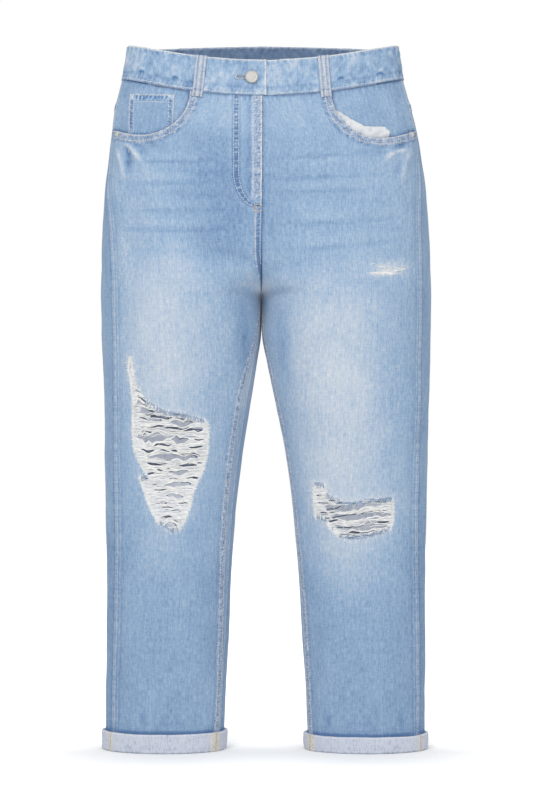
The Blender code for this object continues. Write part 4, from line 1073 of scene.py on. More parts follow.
def pocket_facing(side):
    """The cloth that shows in a front pocket's scoop, on the side seam and under the front."""
    panel = PANELS[side, "front"]
    mouth = resampled(mouth_line(side), 2.0)
    corner, distance, lower = mouth[0, 1], mouth[0, 0] - mouth[:, 0], mouth.copy()
    lower[:, 1] -= -GAP + (FACING_UNDER + GAP) * smoothstep((distance / FACING_RISE - 0.55) / 0.6)
    lower[:, 0] -= FACING_UNDER * smoothstep((np.linspace(0, 1, len(lower)) - 0.72) / 0.28)
    lower[-1, 1] = WAIST_EDGE
    lower = lower[lower[:, 1] <= WAIST_EDGE]
    levels = np.arange(WAIST_EDGE, lower[0, 1] + 1.0, -2.0)
    edge = pairs(outseam(side, levels) * SPAN - GAP / 2, levels)
    over = np.linspace(lower[-1, 0], edge[0, 0], int((edge[0, 0] - lower[-1, 0]) / 2.2))[1:-1]
    outline = np.concatenate([lower, pairs(over, WAIST_EDGE), edge])
    mouth = panel.cloth(mouth)

    def lie(flat):
        """How far out the facing lies: under the front, but level with it by the side seam."""
        from_side = panel.ends(flat[:, 1])[1] * SPAN - flat[:, 0]
        rise = np.where(flat[:, 1] > corner - 20, smoothstep(from_side / FACING_RISE), 1.0)
        sunk = (DENIM + 2 * GAP + 1.0) * rise * (1 - 0.5 * bell((WAIST_SEAM - flat[:, 1]) / 10))
        return panel.bare(flat)[1] - sunk

    def look(flat, places):
        cloth = panel.cloth(flat)
        u, v = cloth.T
        # darker overall, with a painted shadow under the scoop's hem and a painted shadow line under the
        # waistband's edge
        tone = dye_and_painted_shade(panel, cloth) - 0.25 - 0.75 * bell(beside(cloth, mouth)[0] / 3.0)
        tone += 0.13 * noise(u / 16, v / 13, 161) - 0.60 * bell((WAIST_SEAM - v) / 2.4)
        tone += 0.30 * bell((WAIST_SEAM - v) / 8) * (pucker(u, v, 9.0, 163) - 0.7)
        return lie(flat), 0.10 + panel.fades(places), tone, 0.30 * bell((panel.width(v) - u - 1.8) / 1.2)

    return shell(f"{SIDES[side]}_facing", panel, cut(outline, 2.4, 2.2), cut(outline, 7, 6), look,
                 lambda flat: lie(flat) - DENIM)


def coin_pocket():
    """The small pocket on the right facing, run on under the scoop, with pale tacks in its top corners."""
    panel = PANELS[RIGHT, "front"]
    mouth, outline = mouth_line(RIGHT), dense(flat_of(RIGHT, "front", COIN_CORNERS), 1.5)
    order = np.argsort(mouth[:, 0])
    lowest = np.interp(outline[:, 0], mouth[order, 0], mouth[order, 1]) - (FACING_UNDER - 3)
    outline[:, 1] = np.maximum(outline[:, 1], lowest)
    outline = thinned(outline, 0.5)
    line, mouth, corners = closed(panel.cloth(outline)), panel.cloth(mouth), panel.seen(COIN_CORNERS)

    def look(flat, places):
        cloth, height, _ = panel.bare(flat)
        gap, along, _ = beside(cloth, line)
        top_gap, top_along, _ = beside(cloth, corners[:2])
        rope, top_rope = pucker(along, gap, 5.5, 171), pucker(top_along, top_gap, 6.0, 173)
        height += -(DENIM + GAP) + 0.25 * bell((gap - 1.8) / 1.4) + 0.35 * within(gap, 2.4, 7) * (rope - 0.6)
        height += within(top_gap, -3, 10) * 0.3 * top_rope
        tone = dye_and_painted_shade(panel, cloth) + within(gap, 2.4, 7.2) * (rope - 0.66) * 1.7 - 0.26
        for corner in inset(corners, 4.5)[:2]:
            tone += 1.2 * within(np.max(np.abs(cloth - corner), axis=1), -9, 3.0, 1.0)
        # a painted shadow where the scoop's edge lies over the pocket
        tone += within(top_gap, 2, 9) * (top_rope - 0.6) * 1.1 - 0.7 * bell(beside(cloth, mouth)[0] / 3)
        tone += 0.10 * noise(cloth[:, 0] / 9, cloth[:, 1] / 9, 175)
        return height, 0 * gap, tone, 0.55 * bell(gap / 1.2)

    return shell("small_pocket", panel, cut(outline, 1.9, 1.8), cut(outline, 6, 6), look,
                 lambda flat: panel.bare(flat)[1] - (DENIM + GAP + 1.0))


def pocket_bag():
    """The crumpled edge of the left pocket's bag, which has worked its way out of the scoop."""
    panel = PANELS[LEFT, "front"]
    under = [(x, z - BAG_UNDER) for x, z in scoop(LEFT) if BAG_FROM < x < BAG_TO]
    outline = dense(flat_of(LEFT, "front", list(BAG_EDGE) + under), 1.2)
    mouth = panel.cloth(mouth_line(LEFT))
    shown = beside(panel.seen([(130.0, -92.0)]), mouth)[2][0]

    def look(flat, places):
        cloth, height, _ = panel.bare(flat)
        u, v = cloth.T
        fold = 0.9 * noise(u / 7 + v / 15, v / 5 - u / 12, 181) + 0.5 * noise(u / 3, v / 3.4, 182)
        gap, _, sign = beside(cloth, mouth)
        raised = smoothstep(np.where(sign == shown, gap, 0) / 7) * (2.0 + fold)
        # lighter on the raised crumples and darker where the bag goes under the scoop: painted light and shade
        return height - (DENIM + GAP) + raised, 0 * u, 0.35 * fold - 0.5 * bell(raised / 0.5), 0 * u

    return shell("pocket_bag", panel, cut(outline, 1.5, 1.4), cut(outline, 4, 4), look,
                 lambda flat: look(flat, None)[0] - 0.8, ("pocket_cloth",) * 3)


# ---- strips: the waistband, its loops, the fly's shield and the cuffs ----


def rounded(gap, radius):
    """How far a rounded edge of this radius falls back at a distance from the edge."""
    into = radius - np.clip(gap, 0, radius)
    return radius - np.sqrt(np.maximum(radius**2 - into**2, 0))


def edge_rows(low, high, step):
    """Levels between two edges, close together near both."""
    near = np.array([0.0, 0.2, 0.55, 1.05, 1.7, 2.5])
    middle = np.linspace(low + 2.5, high - 2.5, max(2, int((high - low - 5) / step)))[1:-1]
    return np.concatenate([low + near, middle, (high - near)[::-1]])


class Strip:
    """A strip's stations along it and its levels, with the points and normals where they cross on the form."""

    def __init__(self, along, levels, places, normals):
        self.u, self.v = np.broadcast_arrays(np.asarray(along, float)[:, None], levels)
        self.places, self.normals = np.array(places), np.array(normals)
        self.low, self.high = self.v - levels.min(), levels.max() - self.v

    def slab(self, name, finishes, front, back, looks, closed_ring=False, shift=0, start=0):
        """The closed piece between the heights of its front and its back."""
        outer, inner = (self.places + self.normals * np.asarray(out)[..., None] for out in (front, back))
        for side in (outer, inner):
            side[..., 2] += shift
        n, m = self.u.shape
        size, grid = n * m, np.arange(n * m).reshape(n, m)
        if closed_ring:
            grid = np.concatenate([grid, grid[:1]])
        corners = (grid[:-1, :-1], grid[1:, :-1], grid[1:, 1:], grid[:-1, 1:])
        face = np.stack([corner.ravel() for corner in corners], axis=1)
        a, b, c, d = outer.reshape(-1, 3)[face.T]
        if np.sum(np.cross(c - a, d - b) * (outer - inner).reshape(-1, 3)[face[:, 0]]) < 0:
            face = face[:, ::-1]
        rim = border(face)
        walls = np.stack([rim[:, 1], rim[:, 0], rim[:, 0] + size, rim[:, 1] + size], axis=1)
        kinds = np.repeat([0, 1, 1], [len(face), len(face), len(walls)])
        looks = [np.tile(np.broadcast_to(look, (n, m)).ravel(), 2) for look in looks]
        points = np.concatenate([outer.reshape(-1, 3), inner.reshape(-1, 3)])
        weave = np.tile(pairs(self.u + start, self.v).reshape(-1, 2), (2, 1))
        faces = np.concatenate([face, face[:, ::-1] + size, walls]).tolist()
        return new_mesh(name, points, faces, finishes, kinds, looks, weave), outer


def on_form(stations, levels):
    """Points and normals of a grid on the form: a side and a place around it for each station."""
    return [[make(side, turn, levels) for side, turn in stations] for make in (form, outward)]


def split_turns(face, x, levels):
    """For each side, which of a line's points it has, and where round the form they are."""
    sides = np.where(x < column("centre", levels), RIGHT, LEFT)
    parts = [(sides == side, side) for side in SIDES]
    return [(here, side, turn_at(side, x[here], levels[here], face)) for here, side in parts]


def waistband():
    """One strip from the fly's edge round the right side, the back and the left side, and on under itself."""
    ring = np.arange(1.2 * TURN_PER_MM, 1 - 0.6 * TURN_PER_MM, 1.8 * TURN_PER_MM)
    lap = np.arange(BAND_OVERLAP * TURN_PER_MM, 1.0 * TURN_PER_MM, -1.1 * TURN_PER_MM)
    stations = [(LEFT, t) for t in lap] + [(RIGHT, t) for t in ring] + [(LEFT, t) for t in ring[::-1]]
    left_from = len(stations) - len(ring)
    stations += [(RIGHT, t) for t in ring[ring < BAND_UNDERLAP * TURN_PER_MM]]
    levels = edge_rows(WAIST_SEAM + GAP / 2, RIM, 1.2)
    places, normals = on_form(stations, levels)
    run = run_along(np.array(places)[:, 12])
    band = Strip(run, levels, places, normals)
    reach = np.array([side * t / TURN_PER_MM for side, t in stations])
    under = smoothstep((BAND_STEP[0] - reach) / (BAND_STEP[0] - BAND_STEP[1]))
    shift = np.where(np.arange(len(run)) >= left_from, -(BAND_THICK + BAND_GAP) * under, 0.0)[:, None]
    u, v, low, high, x = band.u, band.v, band.low, band.high, band.places[..., 0]
    in_front = band.places[..., 1] < 0
    rope, top_rope = pucker(u, low, 5.6, 201), pucker(u, high, 8.5, 203)
    slant = noise(u / 7.5 + v / 13, v / 16, 205) + 0.9 * noise(u / 4.4 - v / 8, v / 9, 206)
    pits = noise(u / 3.4 + v / 9, v / 4.6, 209)
    relief = 0.55 * slant + 0.75 * bell((low - 5.2) / 2.6) * (rope - 0.6) - 0.35 * bell((low - 9.5) / 2.4)
    relief += 0.60 * bell((high - 4) / 3) * (top_rope - 0.6) + 0.6 * noise(u / 40, v / 90, 207) + 0.22 * pits
    tone = 0.27 * slant + 0.22 * pits + 0.16 * noise(u / 30, v / 28, 208) - 0.35 * bell((low - 10) / 1.9)
    tone += 0.60 * within(low, 3.2, 7.8) * (rope - 0.66) + 0.60 * bell((high - 4.4) / 2.8) * (top_rope - 0.7)
    # darker overall, with a painted shadow along the band's lower edge
    tone -= 0.16 + 0.6 * bell(low / 0.9)
    # each tack's dent is painted dark as shade, with a painted highlight above it
    for middle, level in BAND_TACKS:
        near = (x - middle) / 4.2
        mark = bell(near**2) * bell((v - level + 1.6 * near**2) / 1.5) * in_front
        relief -= 0.5 * mark
        tone -= 1.5 * mark - 0.5 * bell(near) * bell((v - level - 4.0) / 1.8) * in_front
    on_top = in_front & (np.arange(len(run)) < left_from)[:, None]
    slot = within(x, BUTTONHOLE_FROM + 1.5, BUTTON_X, 1.0) * bell((v - BUTTONHOLE_LEVEL) / 0.9)
    relief -= 0.9 * slot * on_top
    wear = 0.75 * bell(high / 1.3) + 0.16 * bell(low / 1.2) + 0.95 * bell((u - 0.6) / 1.4)
    wear += 0.22 * bell((high - 1.2) / 1.6) * (0.5 + top_rope)
    fall = rounded(np.minimum(np.minimum(low, high), np.minimum(u, run[-1] - u)), BAND_THICK * 0.44)
    lift = BAND_LIFT + shift
    return band.slab("waist_band", ("denim", "denim_in_painted_shade"), lift + relief - fall,
                     lift + 0.4 * relief - BAND_THICK + fall, (0.14, tone, wear))[0]


def belt_loop(name, face, top_x, low_x):
    """A flat loop, pressed in three down its length, over the band and tacked under its seam."""
    levels = np.concatenate([np.linspace(RIM + 0.3, WAIST_SEAM + 1.0, 34),
                             np.linspace(WAIST_SEAM - 0.6, WAIST_SEAM - LOOP_TAIL, 9)])
    half = np.array([0.1, 0.2, 0.28, 0.36, 0.43, 0.48, 0.5])
    offsets = LOOP_WIDTH * np.concatenate([-half[::-1], [0], half])
    middle = top_x + (low_x - top_x) * np.linspace(0, 1, len(levels))
    places, normals = np.zeros((2, len(offsets), len(levels), 3))
    for i, offset in enumerate(offsets):
        for here, side, turns in split_turns(face, middle + offset, levels):
            places[i, here] = form(side, turns, levels[here])
            normals[i, here] = outward(side, turns, levels[here])
    loop = Strip(offsets, levels, places, normals)
    u, v = loop.u, loop.v
    edge = LOOP_WIDTH / 2 - np.abs(u)
    under = smoothstep((v - WAIST_SEAM - 0.2) / 3.0)
    lift = 0.8 + (BAND_LIFT + GAP - 0.8) * under + LOOP_THICK
    rope = pucker(v + 11 * top_x, u, 4.6, 211)
    tack = bell((loop.low - 3.0) / 1.6) + bell((v - WAIST_SEAM - 1.6) / 1.2)
    relief = 0.30 * bell(u / 2.4) - 0.35 * bell((np.abs(u) - 2.9) / 1.0)
    relief += 0.22 * bell((edge - 1.6) / 1.2) * rope + 0.4 * under * bell((v - 4) / 14)
    relief += 0.12 * noise(u / 3 + top_x, v / 5, 213) - 0.25 * tack
    fall = rounded(np.minimum(edge, np.minimum(loop.low, loop.high)), LOOP_THICK * 0.42)
    tone = -0.60 * bell((np.abs(u) - 3.0) / 0.8) + 0.5 * (rope - 0.6) * bell((edge - 2.2) / 1.4) - 0.22
    tone += 0.16 * noise(u / 4 + top_x, v / 7, 215) - 0.45 * tack
    wear = 0.50 * bell(edge / 1.0) + 0.30 * bell(u / 1.6)
    return loop.slab(name, ("loop_denim",) * 2, lift + relief - fall, lift - LOOP_THICK + fall,
                     (0.20, tone, wear), start=top_x)[0]


def fly_shield():
    """The plain guard behind the fly."""
    levels, reach = edge_rows(SHIELD_END, WAIST_SEAM - 2, 3.0), np.linspace(SHIELD_LAP, -SHIELD_WIDTH, 22)
    per_mm = 1 / (math.pi * outer_of(RIGHT, -90.0))
    stations = [(LEFT if r > 0 else RIGHT, max(abs(r), 1.0) * per_mm) for r in reach]
    guard = Strip(reach, levels, *on_form(stations, levels))
    edge = np.minimum(np.minimum(guard.low, guard.high), np.minimum(reach[0] - guard.u, guard.u - reach[-1]))
    waves = [PANELS[side, "front"].ripples(pairs(abs(r) * per_mm * SPAN, levels))
             for r, (side, _) in zip(reach, stations)]
    lift, fall = np.array(waves) - (DENIM + GAP + SHIELD_CLEAR), rounded(edge, DENIM * 0.4)
    return guard.slab("fly_guard", ("denim", "denim_in_painted_shade"), lift - fall, lift - DENIM + fall,
                      (0, 0.1 * noise(guard.u / 12, guard.v / 18, 221), 0.4 * bell(edge / 1.4)))[0]


def cuff(side):
    """A leg's end turned up twice, with the cloth's pale reverse outside, as a soft roll."""
    levels = edge_rows(HEM, CUFF_TOPS[side], 1.5)
    places, normals = on_form([(side, around(side, face, i / CUFF_PER_PANEL, levels) % 1)
                               for face in ("front", "back") for i in range(CUFF_PER_PANEL)], levels)
    normals = unit(np.array(normals) * [1, 1, 0])
    run = run_along(np.array(places)[:, 8])
    roll = Strip(run, levels, places, normals)
    u, v, down, up = roll.u, roll.v, roll.low, roll.high
    turn = u / (run[-1] + np.linalg.norm(places[0][8] - places[-1][8]))

    def ring_noise(count, seed, row=0.0):
        """Noise that meets itself round the leg."""
        angle, radius = math.tau * turn, count / math.tau
        return noise(radius * np.cos(angle) + 50, radius * np.sin(angle) + 50 + row, seed)

    wave = 0.5 * ring_noise(9, 231 + side) + 0.35 * ring_noise(26, 233 + side)
    relief = 0.55 * ring_noise(14, 235 + side, v / 16) + 0.25 * ring_noise(46, 237 + side, v / 7)
    relief -= 0.35 * bell((down - 5.5 - 1.2 * ring_noise(8, 239)) / 1.4)
    front = GAP + CUFF_THICK + 0.6 * bell((down - 9) / 8) + relief - rounded(down, 2.1) - rounded(up, 1.0)
    settle = (wave - 0.5) * smoothstep(down / (CUFF_TOPS[side] - HEM))
    # a painted highlight along the roll's rounded top, painted shade along its bottom edge and in the fold's
    # groove
    tone = 0.11 * ring_noise(30, 241, v / 9) + 0.25 * bell(up / 1.6) - 0.35 * bell(down / 2.0)
    tone -= 0.14 * bell((down - 5.5) / 1.3) * (0.5 + 0.5 * ring_noise(20, 243))
    made, outer = roll.slab(f"{SIDES[side]}_cuff", ("cuff_cloth",) * 2, front, GAP + rounded(down, 1.6),
                            (0, tone, 0.5 * bell(up / 1.1)), closed_ring=True, shift=settle)
    return made, [cuff_strip(side, edge, station, outer, levels)
                  for edge, station in (("inner", 1), ("outer", CUFF_PER_PANEL))]


def cuff_strip(side, name, middle, outer, levels):
    """The bound edges of a leg seam where they show on the turned-up cloth."""
    step = float(np.linalg.norm(outer[middle, 8] - outer[middle - 1, 8]))
    towards, wide, beyond = (1, 1.5, int(round(4 / step))) if name == "inner" else (-1, 0.5, 0)
    half = int(round(CUFF_SEAM / 2 / step * wide))
    picked = [(middle + towards * (half - 1 + beyond) + k) % len(outer) for k in range(-half, half + 1)]
    grid = outer[picked][:, 2:-1]
    normal = unit(np.cross(np.gradient(grid, axis=0), np.gradient(grid, axis=1)))
    normal *= np.sign(np.sum(normal * (grid - outer.mean(axis=(0, 1)))))
    strip = Strip(np.linspace(-CUFF_SEAM / 2, CUFF_SEAM / 2, len(picked)), levels[2:-1], grid, normal)
    u, rope = strip.u, pucker(strip.v, strip.u, 2.6, 251 + side)
    front = 0.55 + 0.35 * bell((np.abs(u) - 3.2) / 1.3) * (0.6 + 0.4 * rope)
    front -= rounded(CUFF_SEAM / 2 - np.abs(u), 0.5)
    return strip.slab(f"{SIDES[side]}_cuff_{name}_seam", ("binding",) * 2, front, np.full(u.shape, -0.25),
                      (0, 0.5 * (rope - 0.5) - 0.5 * bell(u / 0.9), 0))[0]


# ---- growing stitches and yarns along lines ----


def feed(tree, node, inputs):
    """Sets a node's inputs, each to a value or from a socket."""
    for key, value in inputs.items():
        if isinstance(value, bpy.types.NodeSocket):
            tree.links.new(value, node.inputs[key])
        else:
            node.inputs[key].default_value = value


def add(tree, kind, inputs=None, **settings):
    """A new node with its settings and its inputs."""
    node = tree.nodes.new(kind)
    for key, value in settings.items():
        setattr(node, key, value)
    feed(tree, node, inputs or {})
    return node


def calc(tree, operation, *values, clamp=False):
    """The result of a sum."""
    return add(tree, "ShaderNodeMath", dict(enumerate(values)), operation=operation, use_clamp=clamp).outputs[0]


def new_group(kind, name, inputs, outputs):
    """A node group with its sockets, each a name and a kind, and the nodes where they come in and go out."""
    tree = bpy.data.node_groups.new(name, kind)
    for way, sockets in (("INPUT", inputs), ("OUTPUT", outputs)):
        for label, socket in sockets:
            tree.interface.new_socket(label, in_out=way, socket_type="NodeSocket" + socket)
    return tree, add(tree, "NodeGroupInput").outputs, add(tree, "NodeGroupOutput").inputs


def growing_tree(name, inputs, grow):
    """A geometry tree that grows something on the curves it is given. inputs are kinds and defaults."""
    if name in bpy.data.node_groups:
        return bpy.data.node_groups[name]
    sockets = [("Geometry", "Geometry")] + [(label, kind) for label, (kind, _) in inputs.items()]
    tree, given, result = new_group("GeometryNodeTree", name, sockets, [("Geometry", "Geometry")])
    for label, (_, default) in inputs.items():
        if default is not None:
            tree.interface.items_tree[label].default_value = default
    curve = add(tree, "GeometryNodeMeshToCurve", {"Mesh": given["Geometry"]}).outputs[0]
    real = add(tree, "GeometryNodeRealizeInstances", {0: grow(tree, given, curve)}).outputs[0]
    smooth = add(tree, "GeometryNodeSetShadeSmooth", {0: real}).outputs[0]
    done = add(tree, "GeometryNodeSetMaterial", {"Geometry": smooth, "Material": given["Thread"]})
    tree.links.new(done.outputs[0], result[0])
    return tree


# The trees' inputs, as kinds and defaults in metres.
STITCH = {
    "Pitch": ("Float", 0.0033), "Length": ("Float", 0.0027), "Width": ("Float", 0.0008),
    "Height": ("Float", 0.0005), "Unevenness": ("Float", 0.12), "Seed": ("Int", 7),
    "Thread": ("Material", None)}
YARN = {"Radius": ("Float", 0.0004), "Sides": ("Int", 5), "Thread": ("Material", None)}


def stitches(tree, given, curve):
    """One small rounded stitch at each step along a line, lying on the cloth."""
    steps = add(tree, "GeometryNodeResampleCurve", {"Curve": curve, "Length": given["Pitch"]}, mode="LENGTH")
    bead = add(tree, "GeometryNodeMeshUVSphere", {"Segments": 6, "Rings": 4, "Radius": 0.5})
    size = add(tree, "ShaderNodeCombineXYZ", {0: given["Length"], 1: given["Width"], 2: given["Height"]})
    shaped = add(tree, "GeometryNodeTransform", {"Geometry": bead.outputs["Mesh"], "Scale": size.outputs[0]})
    facing = add(tree, "GeometryNodeInputNamedAttribute", {"Name": "facing"}, data_type="FLOAT_VECTOR")
    tangent = add(tree, "GeometryNodeInputTangent").outputs[0]
    lying = add(tree, "FunctionNodeAxesToRotation", {0: facing.outputs["Attribute"], 1: tangent},
                primary_axis="Z", secondary_axis="X")
    least, most = (calc(tree, way, 1.0, given["Unevenness"]) for way in ("SUBTRACT", "ADD"))
    varied = add(tree, "FunctionNodeRandomValue", {"Seed": given["Seed"], 2: least, 3: most}, data_type="FLOAT")
    return add(tree, "GeometryNodeInstanceOnPoints", {
        "Points": steps.outputs[0], "Instance": shaped.outputs[0], "Rotation": lying.outputs[0],
        "Scale": varied.outputs[1]}).outputs[0]


def tubes(tree, given, curve):
    """A thin round tube along each line."""
    size = {"Resolution": given["Sides"], "Radius": given["Radius"]}
    ring = add(tree, "GeometryNodeCurvePrimitiveCircle", size)
    return add(tree, "GeometryNodeCurveToMesh", {
        "Curve": curve, "Profile Curve": ring.outputs[0], "Fill Caps": True}).outputs[0]


def grown(name, lines, tree, values, facings=()):
    """The plain mesh that a tree grows along open lines, in millimetres, with a direction for each point."""
    mesh = bpy.data.meshes.new(name)
    starts = np.cumsum([0] + [len(line) for line in lines])
    edges = [(i, i + 1) for start, end in zip(starts, starts[1:]) for i in range(start, end - 1)]
    mesh.from_pydata((np.concatenate(lines) * MM).tolist(), edges, [])
    if facings:
        facing = mesh.attributes.new("facing", "FLOAT_VECTOR", "POINT")
        facing.data.foreach_set("vector", np.concatenate(facings).astype(np.float32).ravel())
    source = put(name, mesh)
    modifier = source.modifiers.new("grow", "NODES")
    modifier.node_group = tree
    for item in tree.interface.items_tree:
        if item.in_out == "INPUT" and item.name in values:
            modifier[item.identifier] = values[item.name]
    made = bpy.data.meshes.new_from_object(source.evaluated_get(bpy.context.evaluated_depsgraph_get()))
    bpy.data.objects.remove(source)
    bpy.data.meshes.remove(mesh)
    made.name = name
    return put(name, made)


def surface_of(obj):
    """A tree that finds where a ray first meets an object."""
    faces = [tuple(face.vertices) for face in obj.data.polygons]
    return BVHTree.FromPolygons([v.co / MM for v in obj.data.vertices], faces)


def settled(rows, on, lift=0.1):
    """Rows laid down on a piece from outside it: runs of points, with their outward directions. A row is a
    side and places in the pattern, and it breaks where there is nothing under it."""
    tree, lines, facings = surface_of(on), [], []
    for side, flat in rows:
        base, normals = surface(side, flat)
        hits = [tree.ray_cast(Vector(at + way * 9.0), Vector(-way), 16.0)[0]
                for at, way in zip(base, normals)]
        found = np.array([hit is not None for hit in hits])
        for run in np.split(np.arange(len(hits)), np.flatnonzero(found[1:] != found[:-1]) + 1):
            if found[run[0]] and len(run) > 2:
                lines.append(np.array([hits[i] for i in run]) + normals[run] * lift)
                facings.append(normals[run])
    return lines, facings


def stitching(name, rows, on):
    """Stitches along rows on a piece."""
    sizes = bpy.context.scene.jeans_cloth
    lines, facings = settled(rows, on)
    return grown(name, lines, growing_tree("stitches along a seam", STITCH, stitches), {
        "Pitch": sizes.stitch_pitch, "Length": sizes.stitch_length, "Width": sizes.stitch_width,
        "Thread": material("seam_thread")}, facings)


def yarns(name, lines, radius, thread, sides=5):
    return grown(name, lines, growing_tree("yarns along lines", YARN, tubes), {
        "Radius": radius * MM, "Sides": sides, "Thread": material(thread)})


def zigzag(name, rows, on, radius, thread):
    """Close stitching as one thread laid to and fro."""
    return yarns(name, settled(rows, on, 0.8 * radius)[0], radius, thread)


# ---- the torn knees: white weft, frays and rubbed patches ----


def crossings(outline, z):
    """Where a level line meets a closed outline, as pairs of x from left to right."""
    found = sorted(x1 + (x2 - x1) * (z - z1) / (z2 - z1)
                   for (x1, z1), (x2, z2) in zip(outline, np.roll(outline, -1, axis=0))
                   if (z1 <= z) != (z2 <= z))
    return list(zip(found[::2], found[1::2]))


def slits(side):
    """Every gap between a hole's threads: the ones listed, and small ones strewn among them."""
    random = np.random.default_rng(290 + side)
    outline, found = np.array(RIPS[side]), list(GAPS[side])
    low, high = outline.min(axis=0), outline.max(axis=0)
    for _ in range(420):
        x0, z0 = random.uniform(low[0], high[0]), random.uniform(low[1], high[1])
        half_x, half_z = random.uniform(3.0, 8.0), random.uniform(0.7, 1.3)
        fits = any(a + half_x + 2 < x0 < b - half_x - 2 for a, b in crossings(outline, z0))
        clear = all(math.hypot((x0 - x) / (half_x + wide + 1), (z0 - z) / (half_z + tall + 1.6)) > 1
                    for x, z, wide, tall, _ in found)
        if fits and clear:
            found.append((x0, z0, half_x, half_z, random.normal(-0.05, 0.22)))
    return found


def reach_of(gap, x):
    """Half the height of a gap along it, which is uneven, and the gap's middle line."""
    x0, z0, half_x, half_z, slope = gap
    bow = np.clip(1 - ((x - x0) / half_x) ** 2, 0, 1) ** 0.6
    return half_z * bow * (1 + 0.5 * noise(x / 4.5, x * 0 + z0, 291)), z0 + slope * (x - x0)


def parted(gaps, x, z):
    """One thread led over or under the gaps that it would run into."""
    for gap in gaps:
        half, middle = reach_of(gap, x)
        if half.any():
            over = 1.0 if (z - middle)[int(np.argmax(half))] >= 0 else -1.0
            clear = np.maximum(over * (z - middle), 0)
            z = np.where(half > 0, middle + over * (clear + half * np.exp(-clear / (1.4 * gap[3]))), z)
    return z


def swayed(side, x, z):
    """The slack of the threads: waves that neighbours share, and that end at the hole's edge."""
    inside = beside(pairs(x, z), closed(RIPS[side]))[0]
    wave = 2.6 * noise(x / 15, z / 13, 301) + 1.5 * noise(x / 6.5, z / 8, 302)
    return z + wave * smoothstep(inside / 11)


def laid(side, strands):
    """Strands given as x, z and how far out of the cloth's outer face they lie, as lines in space."""
    panel = PANELS[side, "front"]
    x, z, out = (np.concatenate([strand[i] for strand in strands]) for i in range(3))
    flat = flat_of(side, "front", pairs(x, z))
    base, normals = surface(side, flat)
    places = base + normals * (out + panel.bare(flat)[1])[:, None]
    return np.split(places, np.cumsum([len(strand[0]) for strand in strands])[:-1])


def behind(side):
    """Dark threads laid at the back of the gaps as painted shadow: along the top of the wide ones, all across
    the small ones.
    """
    strands = []
    for gap in slits(side):
        x0, _, half_x, half_z, _ = gap
        x = np.linspace(x0 - half_x, x0 + half_x, max(5, int(half_x / 0.8)))
        half, middle = reach_of(gap, x)
        for row in (0.9,) if half_z > 2 else (-0.45, 0.45):
            strands.append((x, swayed(side, x, middle + row * half), -2.4 + 0.0 * x))
    return laid(side, strands)


def weft(side):
    """The white threads left across a torn hole: bundled and parted, slack, and here and there broken."""
    random = np.random.default_rng(300 + side)
    sizes, outline, gaps, strands = bpy.context.scene.jeans_torn, np.array(RIPS[side]), slits(side), []
    bottom, top = outline[:, 1].min() + 0.5, outline[:, 1].max() - 0.3
    for k, z0 in enumerate(np.arange(bottom, top, sizes.weft_pitch / MM)):
        for left, right in crossings(outline, z0):
            left, right = left - 2.2 - 1.2 * random.random(), right + 2.2 + 1.2 * random.random()
            length = right - left
            x = np.linspace(left, right, max(5, int(length / 1.7)))
            t = (x - left) / length
            free = np.sin(math.pi * t) ** 0.5 * min(1.0, length / 45)
            phase = (z0 + 2.4 * noise(x / 12, x * 0 + z0 / 8, 303)) / BUNCH
            bunched = BUNCH / math.tau * 0.85 * np.sin(math.tau * phase)
            z = z0 + free * (bunched + 0.5 * noise(x / 4.5, x * 0 + k, 304))
            if random.random() > sizes.astray:
                z = parted(gaps, x, z)
            z = swayed(side, x, z)
            depth = -0.55 + free * (1.5 * noise(x / 10, x * 0 + z0 / 5.5, 305) - 0.4 * np.cos(math.tau * phase))
            depth = depth + free * 0.45 * noise(x / 5, x * 0 + k, 306) - 0.3 * free
            if random.random() < sizes.broken and length > 26:
                gap = random.uniform(0.25, 0.75)
                for kept, loose_end in ((t < gap - 0.06, 1), (t > gap + 0.10, -1)):
                    if kept.sum() > 3:
                        drop = np.linspace(0, 1, kept.sum())[::loose_end] ** 2
                        strands.append((x[kept], z[kept] - 2.2 * drop, depth[kept] + 1.4 * drop))
            else:
                strands.append((x, z, depth))
    return laid(side, strands)


def strays(side):
    """Loose white ends and knots that stand out of the ladder of threads."""
    random = np.random.default_rng(320 + side)
    outline, t, strands = np.array(RIPS[side]), np.linspace(0, 1, 7), []
    for _ in range(40 if side == RIGHT else 24):
        z0 = random.uniform(outline[:, 1].min() + 6, outline[:, 1].max() - 4)
        spans = crossings(outline, z0)
        if spans:
            x0 = random.uniform(*spans[int(random.integers(len(spans)))])
            reach, bend = random.uniform(4, 13), random.uniform(-1.2, 1.2)
            angle = random.choice([0.0, math.pi]) + random.normal(0, 0.3)
            x = x0 + reach * t * np.cos(angle + bend * t)
            z = z0 + reach * t * np.sin(angle + bend * t) - 1.5 * t**2
            strands.append((x, z, 0.2 + 1.5 * np.sin(math.pi * t * 0.7)))
    return laid(side, strands)


def fray(side, warp):
    """Short blue warp ends at a hole's top and bottom, pointing into it, or white fluff all round it."""
    random = np.random.default_rng(340 + side + 7 * warp)
    outline = resampled(closed(RIPS[side]), 0.95 if warp else 0.6)
    inward = (offset_line(outline, 1.0) - outline) * np.sign(twice_area(outline))
    t, strands = np.linspace(-0.35, 1, 6), []
    for start, into in zip(outline, inward):
        level = abs(into[1])
        if random.random() > (3.2 * level - 2.2 if warp else 1.15 - 0.9 * level):
            continue
        reach = random.uniform(2.0, 6.6) if warp else random.uniform(1.2, 4.0)
        lean = random.normal(0, 0.28)
        way = np.array([lean, math.copysign(1.0, into[1])]) if warp else -into + [0, random.normal(0, 0.6)]
        way /= np.linalg.norm(way)
        bend = random.normal(0, 0.25)
        x = start[0] + reach * (t * way[0] - bend * t * t * way[1])
        z = start[1] + reach * (t * way[1] + bend * t * t * way[0])
        strands.append((x, z, 0.2 + random.uniform(0.1, 0.9 if warp else 0.4) * np.clip(t, 0, 1)))
    return laid(side, strands)


